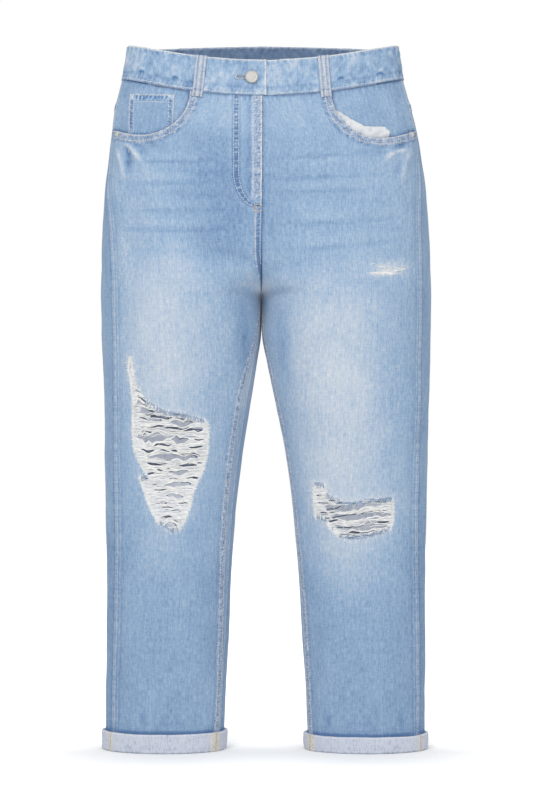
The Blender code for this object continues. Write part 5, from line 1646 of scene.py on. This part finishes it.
def rubbed():
    """White weft raised by rubbing, where no hole has opened."""
    random = np.random.default_rng(360)
    t, strands = np.linspace(-1, 1, 6), {RIGHT: [], LEFT: []}
    for side in (LEFT, RIGHT):
        for x0, z0, half_x, half_z, count, reach in RAISED[side]:
            for _ in range(count):
                x, z = x0 + random.normal(0, 0.5) * half_x, z0 + random.normal(0, 0.5) * half_z
                half = reach * random.uniform(0.35, 1.0)
                slope = random.normal(0.06, 0.12 if side == LEFT else 0.8)
                strands[side].append((x + half * t, z + half * t * slope, 0.12 + 0.25 * (1 - t**2)))
    return laid(RIGHT, strands[RIGHT]) + laid(LEFT, strands[LEFT])


# ---- rows of stitches: a side and places in the pattern ----


def seam_row(panel, line):
    """A row of stitches from a line in cloth coordinates."""
    return panel.side, panel.flat(resampled(line, 2.0))


def straight_row(panel, edge, reach, top, bottom):
    """A row down a panel at a distance from its inner or outer seam."""
    return seam_row(panel, upright(panel, edge, reach, np.arange(top, bottom, -3.0)))


def front_rows(side):
    panel = PANELS[side, "front"]
    mouth = resampled(panel.cloth(mouth_line(side)), 2.0)
    rows = [seam_row(panel, offset_line(mouth, by)[1:-1]) for by in (1.5, HEM_BAND - 1.0)]
    levels = np.arange(CROTCH - 24, HEM + 26, -3.0)
    rows += [seam_row(panel, pairs(by + inseam_reach(side, levels), levels)) for by in (1.8, FELLED - 1.0)]
    if side == RIGHT:
        rows += [seam_row(panel, fly_curve(reach)) for reach in (J_INNER, J_OUTER)]
        rows.append(straight_row(panel, "inner", 1.6, WAIST_SEAM - 2, FLY_BOTTOM))
        rows += [straight_row(panel, "inner", by, FLY_BOTTOM - 8, CROTCH + 34) for by in (1.8, 7.4)]
    return rows


def fly_tack(on):
    """The bar tacks that end the fly, each a close zigzag: two across its folded edge, two down beside it."""
    rows = []
    for u, v, wide, high, turns in ((5.2, 0, 8.5, 1.8, 12), (5.2, -8.5, 8.0, 1.8, 12), (1.4, -4, 1.6, 7.0, 9),
                                    (8.8, -4, 1.6, 7.0, 9)):
        t, flip = np.linspace(-0.5, 0.5, 2 * turns), np.where(np.arange(2 * turns) % 2, 0.5, -0.5)
        along, beyond = (t, flip) if wide > high else (flip, t)
        line = pairs(u + wide * along, FLY_BOTTOM + v + high * beyond)
        rows.append((RIGHT, PANELS[RIGHT, "front"].flat(line)))
    return zigzag("fly_bar_tack", rows, on, 0.34, "tack_thread")


def back_rows(side):
    """A back's rows, and those of its pocket."""
    panel = PANELS[side, "back"]
    line = resampled(panel.cloth(yoke_line(side)), 2.0)
    down = -1.0 if offset_line(line, 1.0)[:, 1].mean() > line[:, 1].mean() else 1.0
    rows = [seam_row(panel, offset_line(line, down * by)[1:-1]) for by in (1.7, FELLED - 1.3)]
    if side == LEFT:
        rows += [straight_row(panel, "inner", by, YOKE_MIDDLE - 14, CROTCH + 12)
                 for by in (1.7, FELLED - 1.3)]
    patch = panel.seen(patch_corners(side))
    first, hem = inset(patch, 1.9)[:2], inset(patch, 12.5)[:2]
    hem[:, 0] = first[:, 0]
    rings = [np.roll(inset(patch, by), -1, axis=0) for by in (1.9, 8.0)]
    return rows, [seam_row(panel, line) for line in (*rings, first, hem)]


def facing_rows(side):
    """The row beside the side seam over the rivet."""
    panel = PANELS[side, "front"]
    levels = np.arange(WAIST_SEAM - 2, POCKETS[side]["corner"][1] + 3, -3.0)
    return [(side, panel.flat(upright(panel, "outer", 1.8, levels)))]


def coin_rows():
    panel = PANELS[RIGHT, "front"]
    corners = panel.seen(COIN_CORNERS)
    sides = [(1.5, (0, 1)), (11.2, (0, 1))] + [(by, ends) for ends in ((1, 2), (3, 0)) for by in (1.5, 7.6)]
    return [seam_row(panel, inset(corners, by)[list(ends)]) for by, ends in sides]


def band_rows():
    """The waistband's stitching: a row along its lower edge and one along its rim, all the way round."""
    rows = []
    for level in (WAIST_SEAM + 2.6, RIM - 1.6):
        for side, start in ((RIGHT, 1.2), (LEFT, BAND_STEP[1])):
            turns = np.arange(start * TURN_PER_MM, 1 - 0.6 * TURN_PER_MM, 3 * TURN_PER_MM)
            rows.append((side, pairs(turns * SPAN, level)))
        rows.append((LEFT, pairs(np.linspace(1.0, BAND_OVERLAP - 1.5, 4) * TURN_PER_MM * SPAN, level)))
    return rows


def buttonhole(on):
    """The keyhole's close stitching, round the slot behind the button."""
    start, length, level = BUTTONHOLE_FROM, BUTTONHOLE_TO - BUTTONHOLE_FROM, BUTTONHOLE_LEVEL
    t, angle = np.arange(64), np.linspace(-1.4, 1.4, 15)
    lines = [(start + length * t / 63, level + way * (1.2 + 1.3 * (t % 2))) for way in (-1, 1)]
    reach = 1.2 + 1.1 * (np.arange(15) % 2)
    lines.append((start - reach * np.cos(angle) + 0.5, level + reach * np.sin(angle) * 1.2))
    rows = [(RIGHT, pairs(turn_at(RIGHT, x, z) * SPAN, z)) for x, z in lines]
    return zigzag("buttonhole_stitches", rows, on, 0.45, "white_thread")


def loop_rows(face, top_x, low_x):
    """Two rows down a loop and the tacks at its ends."""
    levels = np.linspace(RIM - 1.2, WAIST_SEAM - LOOP_TAIL + 1, 30)
    middle = np.interp(levels, [WAIST_SEAM - LOOP_TAIL, RIM], [low_x, top_x])
    ways = [(middle + offset, levels) for offset in (-4.7, 4.7)]
    for level in (WAIST_SEAM - 5.4, WAIST_SEAM - 3.6, RIM - 2.6):
        across = np.interp(level, levels[::-1], middle[::-1]) + np.linspace(-5.4, 5.4, 9)
        ways.append((across, np.full(9, level)))
    return [(side, pairs(turns * SPAN, v[here]))
            for x, v in ways for here, side, turns in split_turns(face, x, v) if here.sum() > 2]


# ---- finishes ----


def from_srgb(colour):
    """A colour in the usual 0 to 255 steps, as the linear values that materials take."""
    steps = [c / 255 for c in colour]
    return tuple(c / 12.92 if c <= 0.04045 else ((c + 0.055) / 1.055) ** 2.4 for c in steps) + (1.0,)


# Each cloth's colour, its colour where it is faded, deep and rubbed, and how uneven it is.
CLOTHS = {
    "denim": ((151, 177, 205), (209, 215, 222), (94, 126, 168), (226, 229, 232), 0.29),
    # the inner faces of the waistband and the guard: the denim's face colour darkened, painted shade
    "denim_in_painted_shade": ((118, 141, 172), (154, 172, 196), (82, 104, 140), (196, 205, 217), 0.22),
    "loop_denim": ((176, 188, 205), (214, 219, 226), (112, 132, 163), (226, 229, 233), 0.25),
    "denim_reverse": ((212, 216, 224), (205, 210, 220), (120, 137, 165), (226, 229, 233), 0.22),
    "cuff_cloth": ((203, 208, 221), (214, 218, 226), (112, 132, 165), (232, 234, 238), 0.34),
    "cut_edge": ((196, 206, 220), (214, 220, 230), (128, 150, 184), (236, 239, 243), 0.35),
    "pocket_cloth": ((218, 221, 224), (232, 233, 235), (150, 160, 174), (240, 241, 242), 0.10),
    "binding": ((214, 209, 201), (226, 223, 218), (150, 146, 142), (232, 230, 226), 0.20),
}
THREADS = {
    # the dark yarn laid behind the torn threads is painted shadow
    "white_thread": (250, 250, 248), "blue_yarn": (156, 179, 208), "painted_shadow_yarn": (92, 102, 120),
    "seam_thread": (216, 217, 217), "tack_thread": (244, 226, 208)}
METALS = {"button_metal": (206, 202, 198), "rivet_metal": (214, 209, 202)}


def mixed(tree, share, first, second):
    """One colour turned into another."""
    return add(tree, "ShaderNodeMix", {0: share, 6: first, 7: second}, data_type="RGBA").outputs[2]


def speckled(tree, where, scale, detail):
    """Noise between 0 and 1."""
    return add(tree, "ShaderNodeTexNoise", {"Vector": where, "Scale": scale, "Detail": detail}).outputs["Fac"]


def worn_cloth():
    """The group that all the cloths share: uneven yarns, fading and rubbing, and the weave's relief."""
    name = "worn denim"
    if name in bpy.data.node_groups:
        return bpy.data.node_groups[name]
    inputs = [("Vector", "Vector")] + [(label, "Color") for label in ("Base", "Faded", "Deep", "Rubbed")]
    inputs += [(label, "Float") for label in ("Fade", "Tone", "Wear", "Grain")]
    tree, given, result = new_group("ShaderNodeTree", name, inputs, [("Color", "Color"), ("Height", "Float")])

    def patchy(across, down, detail):
        scale = {0: given["Vector"], 1: (across, down, 1.0)}
        scaled = add(tree, "ShaderNodeVectorMath", scale, operation="MULTIPLY").outputs[0]
        return calc(tree, "SUBTRACT", speckled(tree, scaled, 1.0, detail), 0.5)

    slubs, picks = patchy(620, 130, 1.0), patchy(120, 560, 1.0)
    uneven, relief = slubs, calc(tree, "ADD", slubs, picks)
    for part, share in ((patchy(270, 24, 1.0), 0.45), (picks, 0.50), (patchy(34, 26, 4.0), 0.24)):
        uneven = calc(tree, "ADD", uneven, calc(tree, "MULTIPLY", part, share))
    uneven = calc(tree, "MULTIPLY", calc(tree, "MULTIPLY", uneven, given["Grain"]), 4.0)
    level = calc(tree, "ADD", calc(tree, "ADD", given["Fade"], given["Tone"]), uneven)
    pale = mixed(tree, calc(tree, "ADD", level, 0.0, clamp=True), given["Base"], given["Faded"])
    deep = mixed(tree, calc(tree, "MULTIPLY", level, -1.0, clamp=True), pale, given["Deep"])
    broken = calc(tree, "ADD", calc(tree, "MULTIPLY", relief, 3.0), 1.0)
    rub = calc(tree, "MULTIPLY", given["Wear"], broken, clamp=True)
    tree.links.new(mixed(tree, rub, deep, given["Rubbed"]), result["Color"])
    tree.links.new(relief, result["Height"])
    return tree


def dressed_cloth(tree, colours, grain):
    """What a cloth's shader is fed: its colour by how worn each place is, and the weave's relief."""
    inputs = dict(zip(("Base", "Faded", "Deep", "Rubbed"), colours))
    inputs |= {"Vector": add(tree, "ShaderNodeUVMap", uv_map="weave").outputs[0], "Grain": grain}
    for label in ("Fade", "Tone", "Wear"):
        inputs[label] = add(tree, "ShaderNodeAttribute", attribute_name=label.lower()).outputs["Fac"]
    group = add(tree, "ShaderNodeGroup", node_tree=worn_cloth())
    feed(tree, group, inputs)
    relief = {"Strength": 0.35, "Distance": 0.0005, "Height": group.outputs["Height"]}
    bump = add(tree, "ShaderNodeBump", relief)
    return {"Base Color": group.outputs["Color"], "Normal": bump.outputs["Normal"], "Roughness": 0.9,
            "Specular IOR Level": 0.15, "Sheen Weight": 0.08}


def spun_thread(tree, colour):
    """What a thread's shader is fed: lighter and darker lengths."""
    found = speckled(tree, add(tree, "ShaderNodeTexCoord").outputs["Object"], 170.0, 2.0)
    darker = tuple(c * 0.78 for c in colour[:3]) + (1.0,)
    share = calc(tree, "MULTIPLY", calc(tree, "SUBTRACT", found, 0.42), 2.2, clamp=True)
    return {"Base Color": mixed(tree, share, colour, darker), "Roughness": 0.85, "Specular IOR Level": 0.2}


def worn_metal(tree, colour):
    """What aged metal's shader is fed: paler and darker patches, and a roughness that changes with them."""
    found = speckled(tree, add(tree, "ShaderNodeTexCoord").outputs["Object"], 420.0, 3.0)
    darker = tuple(c * 0.6 for c in colour[:3]) + (1.0,)
    return {"Base Color": mixed(tree, calc(tree, "MULTIPLY", found, 0.7), colour, darker),
            "Roughness": calc(tree, "ADD", calc(tree, "MULTIPLY", found, 0.2), 0.4), "Metallic": 0.35}


def node_of(tree, kind):
    """The node of a kind that a new tree comes with."""
    return next(node for node in tree.nodes if node.type == kind)


def material(name):
    """A finish by its name, made the first time it is asked for."""
    label = "worn " + name.replace("_", " ")
    if label in bpy.data.materials:
        return bpy.data.materials[label]
    made = bpy.data.materials.new(label)
    made.use_nodes = True
    tree = made.node_tree
    if name in CLOTHS:
        *colours, grain = CLOTHS[name]
        colours = [from_srgb(colour) for colour in colours]
        inputs = dressed_cloth(tree, colours, grain)
    else:
        table, dress = (THREADS, spun_thread) if name in THREADS else (METALS, worn_metal)
        colours = [from_srgb(table[name])]
        inputs = dress(tree, colours[0])
    feed(tree, node_of(tree, "BSDF_PRINCIPLED"), inputs)
    made.diffuse_color = colours[0]
    return made


# ---- metal ----


def turned(name, side, flat, profile, finish, sides, lean=0.0):
    """A piece turned on the way out of the form at a place in the pattern, or on one that leans to the front.
    Each step of its profile is a radius and a height."""
    (middle,), (normal,) = surface(side, np.array([flat]))
    normal = Vector(normal - [0, lean, 0]).normalized()
    spoke = normal.orthogonal().normalized()
    angles = np.arange(sides) * math.tau / sides
    ring = np.outer(np.cos(angles), spoke) + np.outer(np.sin(angles), normal.cross(spoke))
    places = np.concatenate([middle + np.array(normal) * height + ring * radius
                             for radius, height in profile])
    rings = np.arange(len(places)).reshape(len(profile), sides)
    faces = [(a, b, b + sides, a + sides) for row in rings[:-1] for a, b in zip(row, np.roll(row, -1))]
    faces += [tuple(rings[-1]), tuple(rings[0][::-1])]
    return new_mesh(name, places, faces, (finish,))


def button():
    """The shank button: a domed cap with a raised rim and a ring, on its shank."""
    base = BAND_LIFT + 0.35
    profile = [(radius, base + height) for radius, height in (
        (SHANK_R + 0.4, 0), (SHANK_R, 0.5), (SHANK_R, 0.9), (6.8, 1.0), (7.7, 1.4), (BUTTON_R, 2.1),
        (BUTTON_R - 0.15, 2.8), (7.3, 3.2), (6.8, 3.2), (6.4, 2.95), (5.6, 2.95), (4.2, 3.0), (2.4, 3.05),
        (0.3, 3.05))]
    flat = (float(turn_at(RIGHT, BUTTON_X, BUTTON_LEVEL)) * SPAN, BUTTON_LEVEL)
    return turned("waist_button", RIGHT, flat, profile, "button_metal", 64)


def rivet(side):
    """A rivet's cap at a front pocket's corner, turned somewhat to the front."""
    x, z = POCKETS[side]["corner"]
    flat = flat_of(side, "front", [(x - side * RIVET_IN, z - RIVET_DOWN)])
    lift = float(PANELS[side, "front"].bare(flat)[1][0]) + 0.6
    profile = [(radius, lift + height) for radius, height in (
        (RIVET_R - 0.3, -2.4), (RIVET_R, 0.1), (RIVET_R - 0.1, 0.5), (3.1, 1.0), (2.3, 1.15), (1.9, 1.0),
        (1.5, 1.1), (1.1, 1.5), (0.4, 1.7))]
    return turned(f"pocket_rivet_{SIDES[side]}", side, flat[0], profile, "rivet_metal", 40, RIVET_TURN)


# ---- the stage, in metres ----

FLOOR_REACH, FLOOR_SIDES, FLOOR_COLOUR = 4.0, 96, (0.93, 0.93, 0.93, 1.0)
EYE_X, EYE_LEVEL, SENSOR_MM = 0.0013, -0.437, 36.0
# Where each light is, what it is turned to, and how wide it is.
KEY_LIGHT = ((-1.1, -2.6, 1.7), (0, 0, -0.45), 1.6)
FILL_LIGHT = ((1.9, -2.2, 0.6), (0, 0, -0.5), 1.8)
# Two small lights inside each leg: their x, the upper one's level, the lower one's, and how strong they are.
LEG_LIGHTS = {"right": (-0.125, -0.37, -0.62, 1.0), "left": (0.11, -0.50, -0.66, 0.65)}
LEG_LIGHT_Y, LEG_LIGHT_AIM_Y, LEG_LIGHT_WIDTH = -0.035, 0.07, 0.07


def floor_material():
    """White and brightened for the camera, with its glow dimmed near the cuffs by ambient occlusion, a painted
    contact shadow, and raised behind the legs, painted light that hides the key light's shadow there.
    """
    made = bpy.data.materials.new("white floor")
    made.use_nodes = True
    tree, sizes = made.node_tree, bpy.context.scene.jeans_stage
    shader = node_of(tree, "BSDF_PRINCIPLED")
    feed(tree, shader, {"Base Color": FLOOR_COLOUR, "Roughness": 0.9, "Specular IOR Level": 0.0})
    seen = add(tree, "ShaderNodeLightPath").outputs["Is Camera Ray"]
    # the glow fades where the floor is occluded near the cuffs: a painted contact shadow
    open_sky = add(tree, "ShaderNodeAmbientOcclusion", {"Distance": sizes.shadow_reach}).outputs["AO"]
    near = calc(tree, "MULTIPLY", calc(tree, "POWER", open_sky, 4.0), sizes.lift)
    where = add(tree, "ShaderNodeSeparateXYZ", {0: add(tree, "ShaderNodeTexCoord").outputs["Object"]})
    # painted light behind the legs, hiding the key light's shadow there
    painted_light_behind_legs = add(tree, "ShaderNodeMapRange", {
        "Value": where.outputs["Y"], "From Min": -0.04, "From Max": 0.06, "To Min": 0.0, "To Max": 0.35,
    }, interpolation_type="SMOOTHSTEP").outputs["Result"]
    strength = calc(tree, "MULTIPLY", seen, calc(tree, "ADD", near, painted_light_behind_legs))
    glow = add(tree, "ShaderNodeEmission", {"Strength": strength})
    both = add(tree, "ShaderNodeAddShader", {0: shader.outputs[0], 1: glow.outputs[0]})
    feed(tree, node_of(tree, "OUTPUT_MATERIAL"), {"Surface": both.outputs[0]})
    return made


def light(name, at, aim, size, power):
    """A round soft light that the camera doesn't see."""
    lamp = bpy.data.lights.new(name, "AREA")
    lamp.shape, lamp.size, lamp.energy = "DISK", size, power
    obj = put(name, lamp)
    obj.location = at
    obj.rotation_euler = (Vector(aim) - Vector(at)).to_track_quat("-Z", "Y").to_euler()
    obj.visible_camera = False


def white_world(scene, ambient):
    """White where the camera sees it, and an even soft light for everything else."""
    scene.world = bpy.data.worlds.new("white room")
    scene.world.use_nodes = True
    tree = scene.world.node_tree
    seen = add(tree, "ShaderNodeLightPath").outputs["Is Camera Ray"]
    strength = calc(tree, "ADD", calc(tree, "MULTIPLY", seen, 1.0 - ambient), ambient)
    feed(tree, node_of(tree, "BACKGROUND"), {"Color": (1.0, 1.0, 1.0, 1.0), "Strength": strength})


def stage():
    """The floor, the lights, the white room and the camera."""
    scene = bpy.context.scene
    sizes = scene.jeans_stage
    floor = bpy.data.meshes.new("floor")
    angles = np.linspace(0, math.tau, FLOOR_SIDES, endpoint=False)
    points = [(math.cos(a) * FLOOR_REACH, math.sin(a) * FLOOR_REACH, HEM * MM) for a in angles]
    floor.from_pydata(points, [], [tuple(range(FLOOR_SIDES))])
    floor.materials.append(floor_material())
    put("floor", floor)
    white_world(scene, sizes.ambient)
    light("key light", *KEY_LIGHT, sizes.key_power)
    light("fill light", *FILL_LIGHT, sizes.fill_power)
    for name, (x, top, low, share) in LEG_LIGHTS.items():
        aim = (x, LEG_LIGHT_AIM_Y, (top + low) / 2)
        for label, level in (("upper", top), ("lower", low)):
            light(f"{name} leg light {label}", (x, LEG_LIGHT_Y, level), aim, LEG_LIGHT_WIDTH,
                  sizes.leg_power * share)
    lens = bpy.data.cameras.new("camera")
    lens.lens, lens.sensor_width, lens.dof.use_dof = sizes.focal, SENSOR_MM, False
    eye = put("camera", lens)
    eye.location, eye.rotation_euler = (EYE_X, -sizes.distance, EYE_LEVEL), (math.pi / 2, 0, 0)
    scene.camera = eye
    scene.view_settings.view_transform, scene.view_settings.look = "Standard", "None"


# ---- the pieces, their places and the settings ----


def place(piece, node, threads=()):
    """Attaches a piece to the root and hides the solid named node, if one is named. threads, the stitching or
    strips that go with it, are attached too.
    """
    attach(piece, "root")
    if node:
        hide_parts(node)
    for thread in threads:
        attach(thread, "root")


class JeansCloth(bpy.types.PropertyGroup):
    """Sizes of the seams and the stitches."""

    rope_pitch: FloatProperty(
        name="Pucker pitch", description="How far apart the puckers along the seams are", default=0.0053,
        unit="LENGTH")
    stitch_pitch: FloatProperty(
        name="Stitch pitch", description="From one stitch to the next", default=0.0033, unit="LENGTH")
    stitch_length: FloatProperty(
        name="Stitch length", description="How much of the pitch a stitch fills", default=0.0031, unit="LENGTH")
    stitch_width: FloatProperty(
        name="Thread", description="How wide a stitch is", default=0.00105, unit="LENGTH")


class JeansTorn(bpy.types.PropertyGroup):
    """The threads left across the torn knees."""

    weft_pitch: FloatProperty(
        name="Thread pitch", description="From one white thread to the next", default=0.00105, unit="LENGTH")
    weft_radius: FloatProperty(
        name="Thread radius", description="Half a white thread's thickness", default=0.00042, unit="LENGTH")
    broken: FloatProperty(
        name="Broken", description="The share of the threads that has snapped", default=0.08, subtype="FACTOR")
    astray: FloatProperty(
        name="Astray", description="The share of the threads that cross the gaps", default=0.07,
        subtype="FACTOR")


class JeansStage(bpy.types.PropertyGroup):
    """The camera, the lights and the floor."""

    distance: FloatProperty(
        name="Camera distance", description="From the camera to the waistband's middle", default=2.80,
        unit="LENGTH")
    focal: FloatProperty(name="Focal length", description="On a sensor 36 mm high", default=96.9, unit="CAMERA")
    ambient: FloatProperty(name="Ambient", description="Strength of the room's even light", default=0.56)
    key_power: FloatProperty(
        name="Key light", description="Power of the main light", default=48.0, unit="POWER")
    fill_power: FloatProperty(
        name="Fill light", description="Power of the weaker light", default=15.0, unit="POWER")
    leg_power: FloatProperty(
        name="Leg lights", description="Power of the small lights inside the legs", default=0.062, unit="POWER")
    lift: FloatProperty(
        name="Floor lift", description="How much the floor is brightened for the camera", default=0.36)
    shadow_reach: FloatProperty(
        name="Shadow reach", description="How far the soft dark line round the cuffs spreads", default=0.14,
        unit="LENGTH")


class LegPanels(bpy.types.Operator):
    """The fronts, backs, yokes and back pockets, with their stitching"""

    bl_idname = "jeans.leg_panels"
    bl_label = "Leg panels"

    def execute(self, context):
        for side, name in SIDES.items():
            front = leg_front(side)
            threads = [stitching(f"{name}_front_stitches", front_rows(side), front)]
            if side == RIGHT:
                threads.append(fly_tack(front))
            place(front, f"front_{name}", threads=threads)
            back, yoke, patch = leg_back(side)
            on_back, on_patch = back_rows(side)
            threads = [stitching(f"{name}_back_stitches", on_back, back)]
            place(back, f"back_{name}", threads=threads)
            place(yoke, f"yoke_{name}")
            threads = [stitching(f"{name}_back_pocket_stitches", on_patch, patch)]
            place(patch, f"back_pocket_{name}",
                  threads=threads)
        return {"FINISHED"}


class FrontPockets(bpy.types.Operator):
    """The cloth inside the front pockets' scoops, the small pocket and the edge of the left bag"""

    bl_idname = "jeans.front_pockets"
    bl_label = "Front pockets"

    def execute(self, context):
        for side, name in SIDES.items():
            facing = pocket_facing(side)
            small = coin_pocket() if side == RIGHT else None
            threads = [stitching(f"{name}_facing_stitches", facing_rows(side), facing)]
            place(facing, f"pocket_facing_{name}", threads=threads)
            if small:
                threads = [stitching("small_pocket_stitches", coin_rows(), small)]
                place(small, "coin_pocket",
                      threads=threads)
        place(pocket_bag(), "pocket_bag_left")
        return {"FINISHED"}


class Waistband(bpy.types.Operator):
    """The waistband with its buttonhole and stitching, and the five belt loops"""

    bl_idname = "jeans.waistband"
    bl_label = "Waistband and loops"

    def execute(self, context):
        band = waistband()
        threads = [stitching("waist_band_stitches", band_rows(), band), buttonhole(band)]
        place(band, "waistband", threads=threads)
        for name, (face, top_x, low_x) in LOOPS.items():
            loop = belt_loop(f"loop_{name}", face, top_x, low_x)
            threads = [stitching(f"loop_{name}_stitches", loop_rows(face, top_x, low_x), loop)]
            place(loop, f"belt_loop_{name}",
                  threads=threads)
        return {"FINISHED"}


class FlyGuard(bpy.types.Operator):
    """The guard behind the fly"""

    bl_idname = "jeans.fly_guard"
    bl_label = "Fly guard"

    def execute(self, context):
        place(fly_shield(), "fly_shield")
        return {"FINISHED"}


class Cuffs(bpy.types.Operator):
    """The turned-up hems, with the bound seams that show on them"""

    bl_idname = "jeans.cuffs"
    bl_label = "Turned-up hems"

    def execute(self, context):
        for side, name in SIDES.items():
            roll, strips = cuff(side)
            place(roll, f"cuff_{name}", threads=strips)
        return {"FINISHED"}


class TornKnees(bpy.types.Operator):
    """The white threads across the holes, their loose ends, and the frayed edges"""

    bl_idname = "jeans.torn_knees"
    bl_label = "Torn knees"

    def execute(self, context):
        radius = context.scene.jeans_torn.weft_radius / MM
        for side, name in SIDES.items():
            white = yarns(f"{name}_weft", weft(side), radius, "white_thread")
            place(white, f"rip_threads_{name}")
            loose = strays(side) + fray(side, False)
            loose = yarns(f"{name}_loose_weft", loose, radius * 0.55, "white_thread", 4)
            place(loose, None)
            # dark yarns behind the gaps: painted shadow
            dark = yarns(f"{name}_painted_shadow_weft", behind(side), radius * 1.7, "painted_shadow_yarn", 4)
            place(dark, None)
            blue = yarns(f"{name}_frayed_warp", fray(side, True), radius * 0.85, "blue_yarn", 4)
            place(blue, None)
        scuffed = yarns("rubbed_weft", rubbed(), radius * 0.6, "white_thread", 4)
        place(scuffed, None)
        return {"FINISHED"}


class Fasteners(bpy.types.Operator):
    """The waist button and the pocket rivets"""

    bl_idname = "jeans.fasteners"
    bl_label = "Button and rivets"

    def execute(self, context):
        place(button(), "button")
        for side, name in SIDES.items():
            place(rivet(side), f"rivet_{name}")
        return {"FINISHED"}


class Stage(bpy.types.Operator):
    """The floor, the lights, the white room and the camera"""

    bl_idname = "jeans.stage"
    bl_label = "Stage"

    def execute(self, context):
        stage()
        return {"FINISHED"}


OPERATORS = (LegPanels, FrontPockets, Waistband, FlyGuard, Cuffs, TornKnees, Fasteners, Stage)
SETTINGS = {"jeans_cloth": JeansCloth, "jeans_torn": JeansTorn, "jeans_stage": JeansStage}


class JeansPanel(bpy.types.Panel):
    """The jeans' sizes and the steps that build them"""

    bl_idname = "VIEW3D_PT_jeans"
    bl_label = "Ripped jeans"
    bl_space_type = "VIEW_3D"
    bl_region_type = "UI"
    bl_category = "Jeans"

    def draw(self, context):
        for name, group in SETTINGS.items():
            box = self.layout.box()
            for key in group.__annotations__:
                box.prop(getattr(context.scene, name), key)
        for operator in OPERATORS:
            self.layout.operator(operator.bl_idname)


def register():
    for cls in (*SETTINGS.values(), *OPERATORS, JeansPanel):
        bpy.utils.register_class(cls)
    for name, group in SETTINGS.items():
        setattr(bpy.types.Scene, name, PointerProperty(type=group))


def unregister():
    for name in SETTINGS:
        delattr(bpy.types.Scene, name)
    for cls in reversed((*SETTINGS.values(), *OPERATORS, JeansPanel)):
        bpy.utils.unregister_class(cls)


def main():
    register()
    bpy.ops.jeans.leg_panels()
    bpy.ops.jeans.front_pockets()
    bpy.ops.jeans.waistband()
    bpy.ops.jeans.fly_guard()
    bpy.ops.jeans.cuffs()
    bpy.ops.jeans.torn_knees()
    bpy.ops.jeans.fasteners()
    bpy.ops.jeans.stage()


if __name__ == "__main__":
    main()
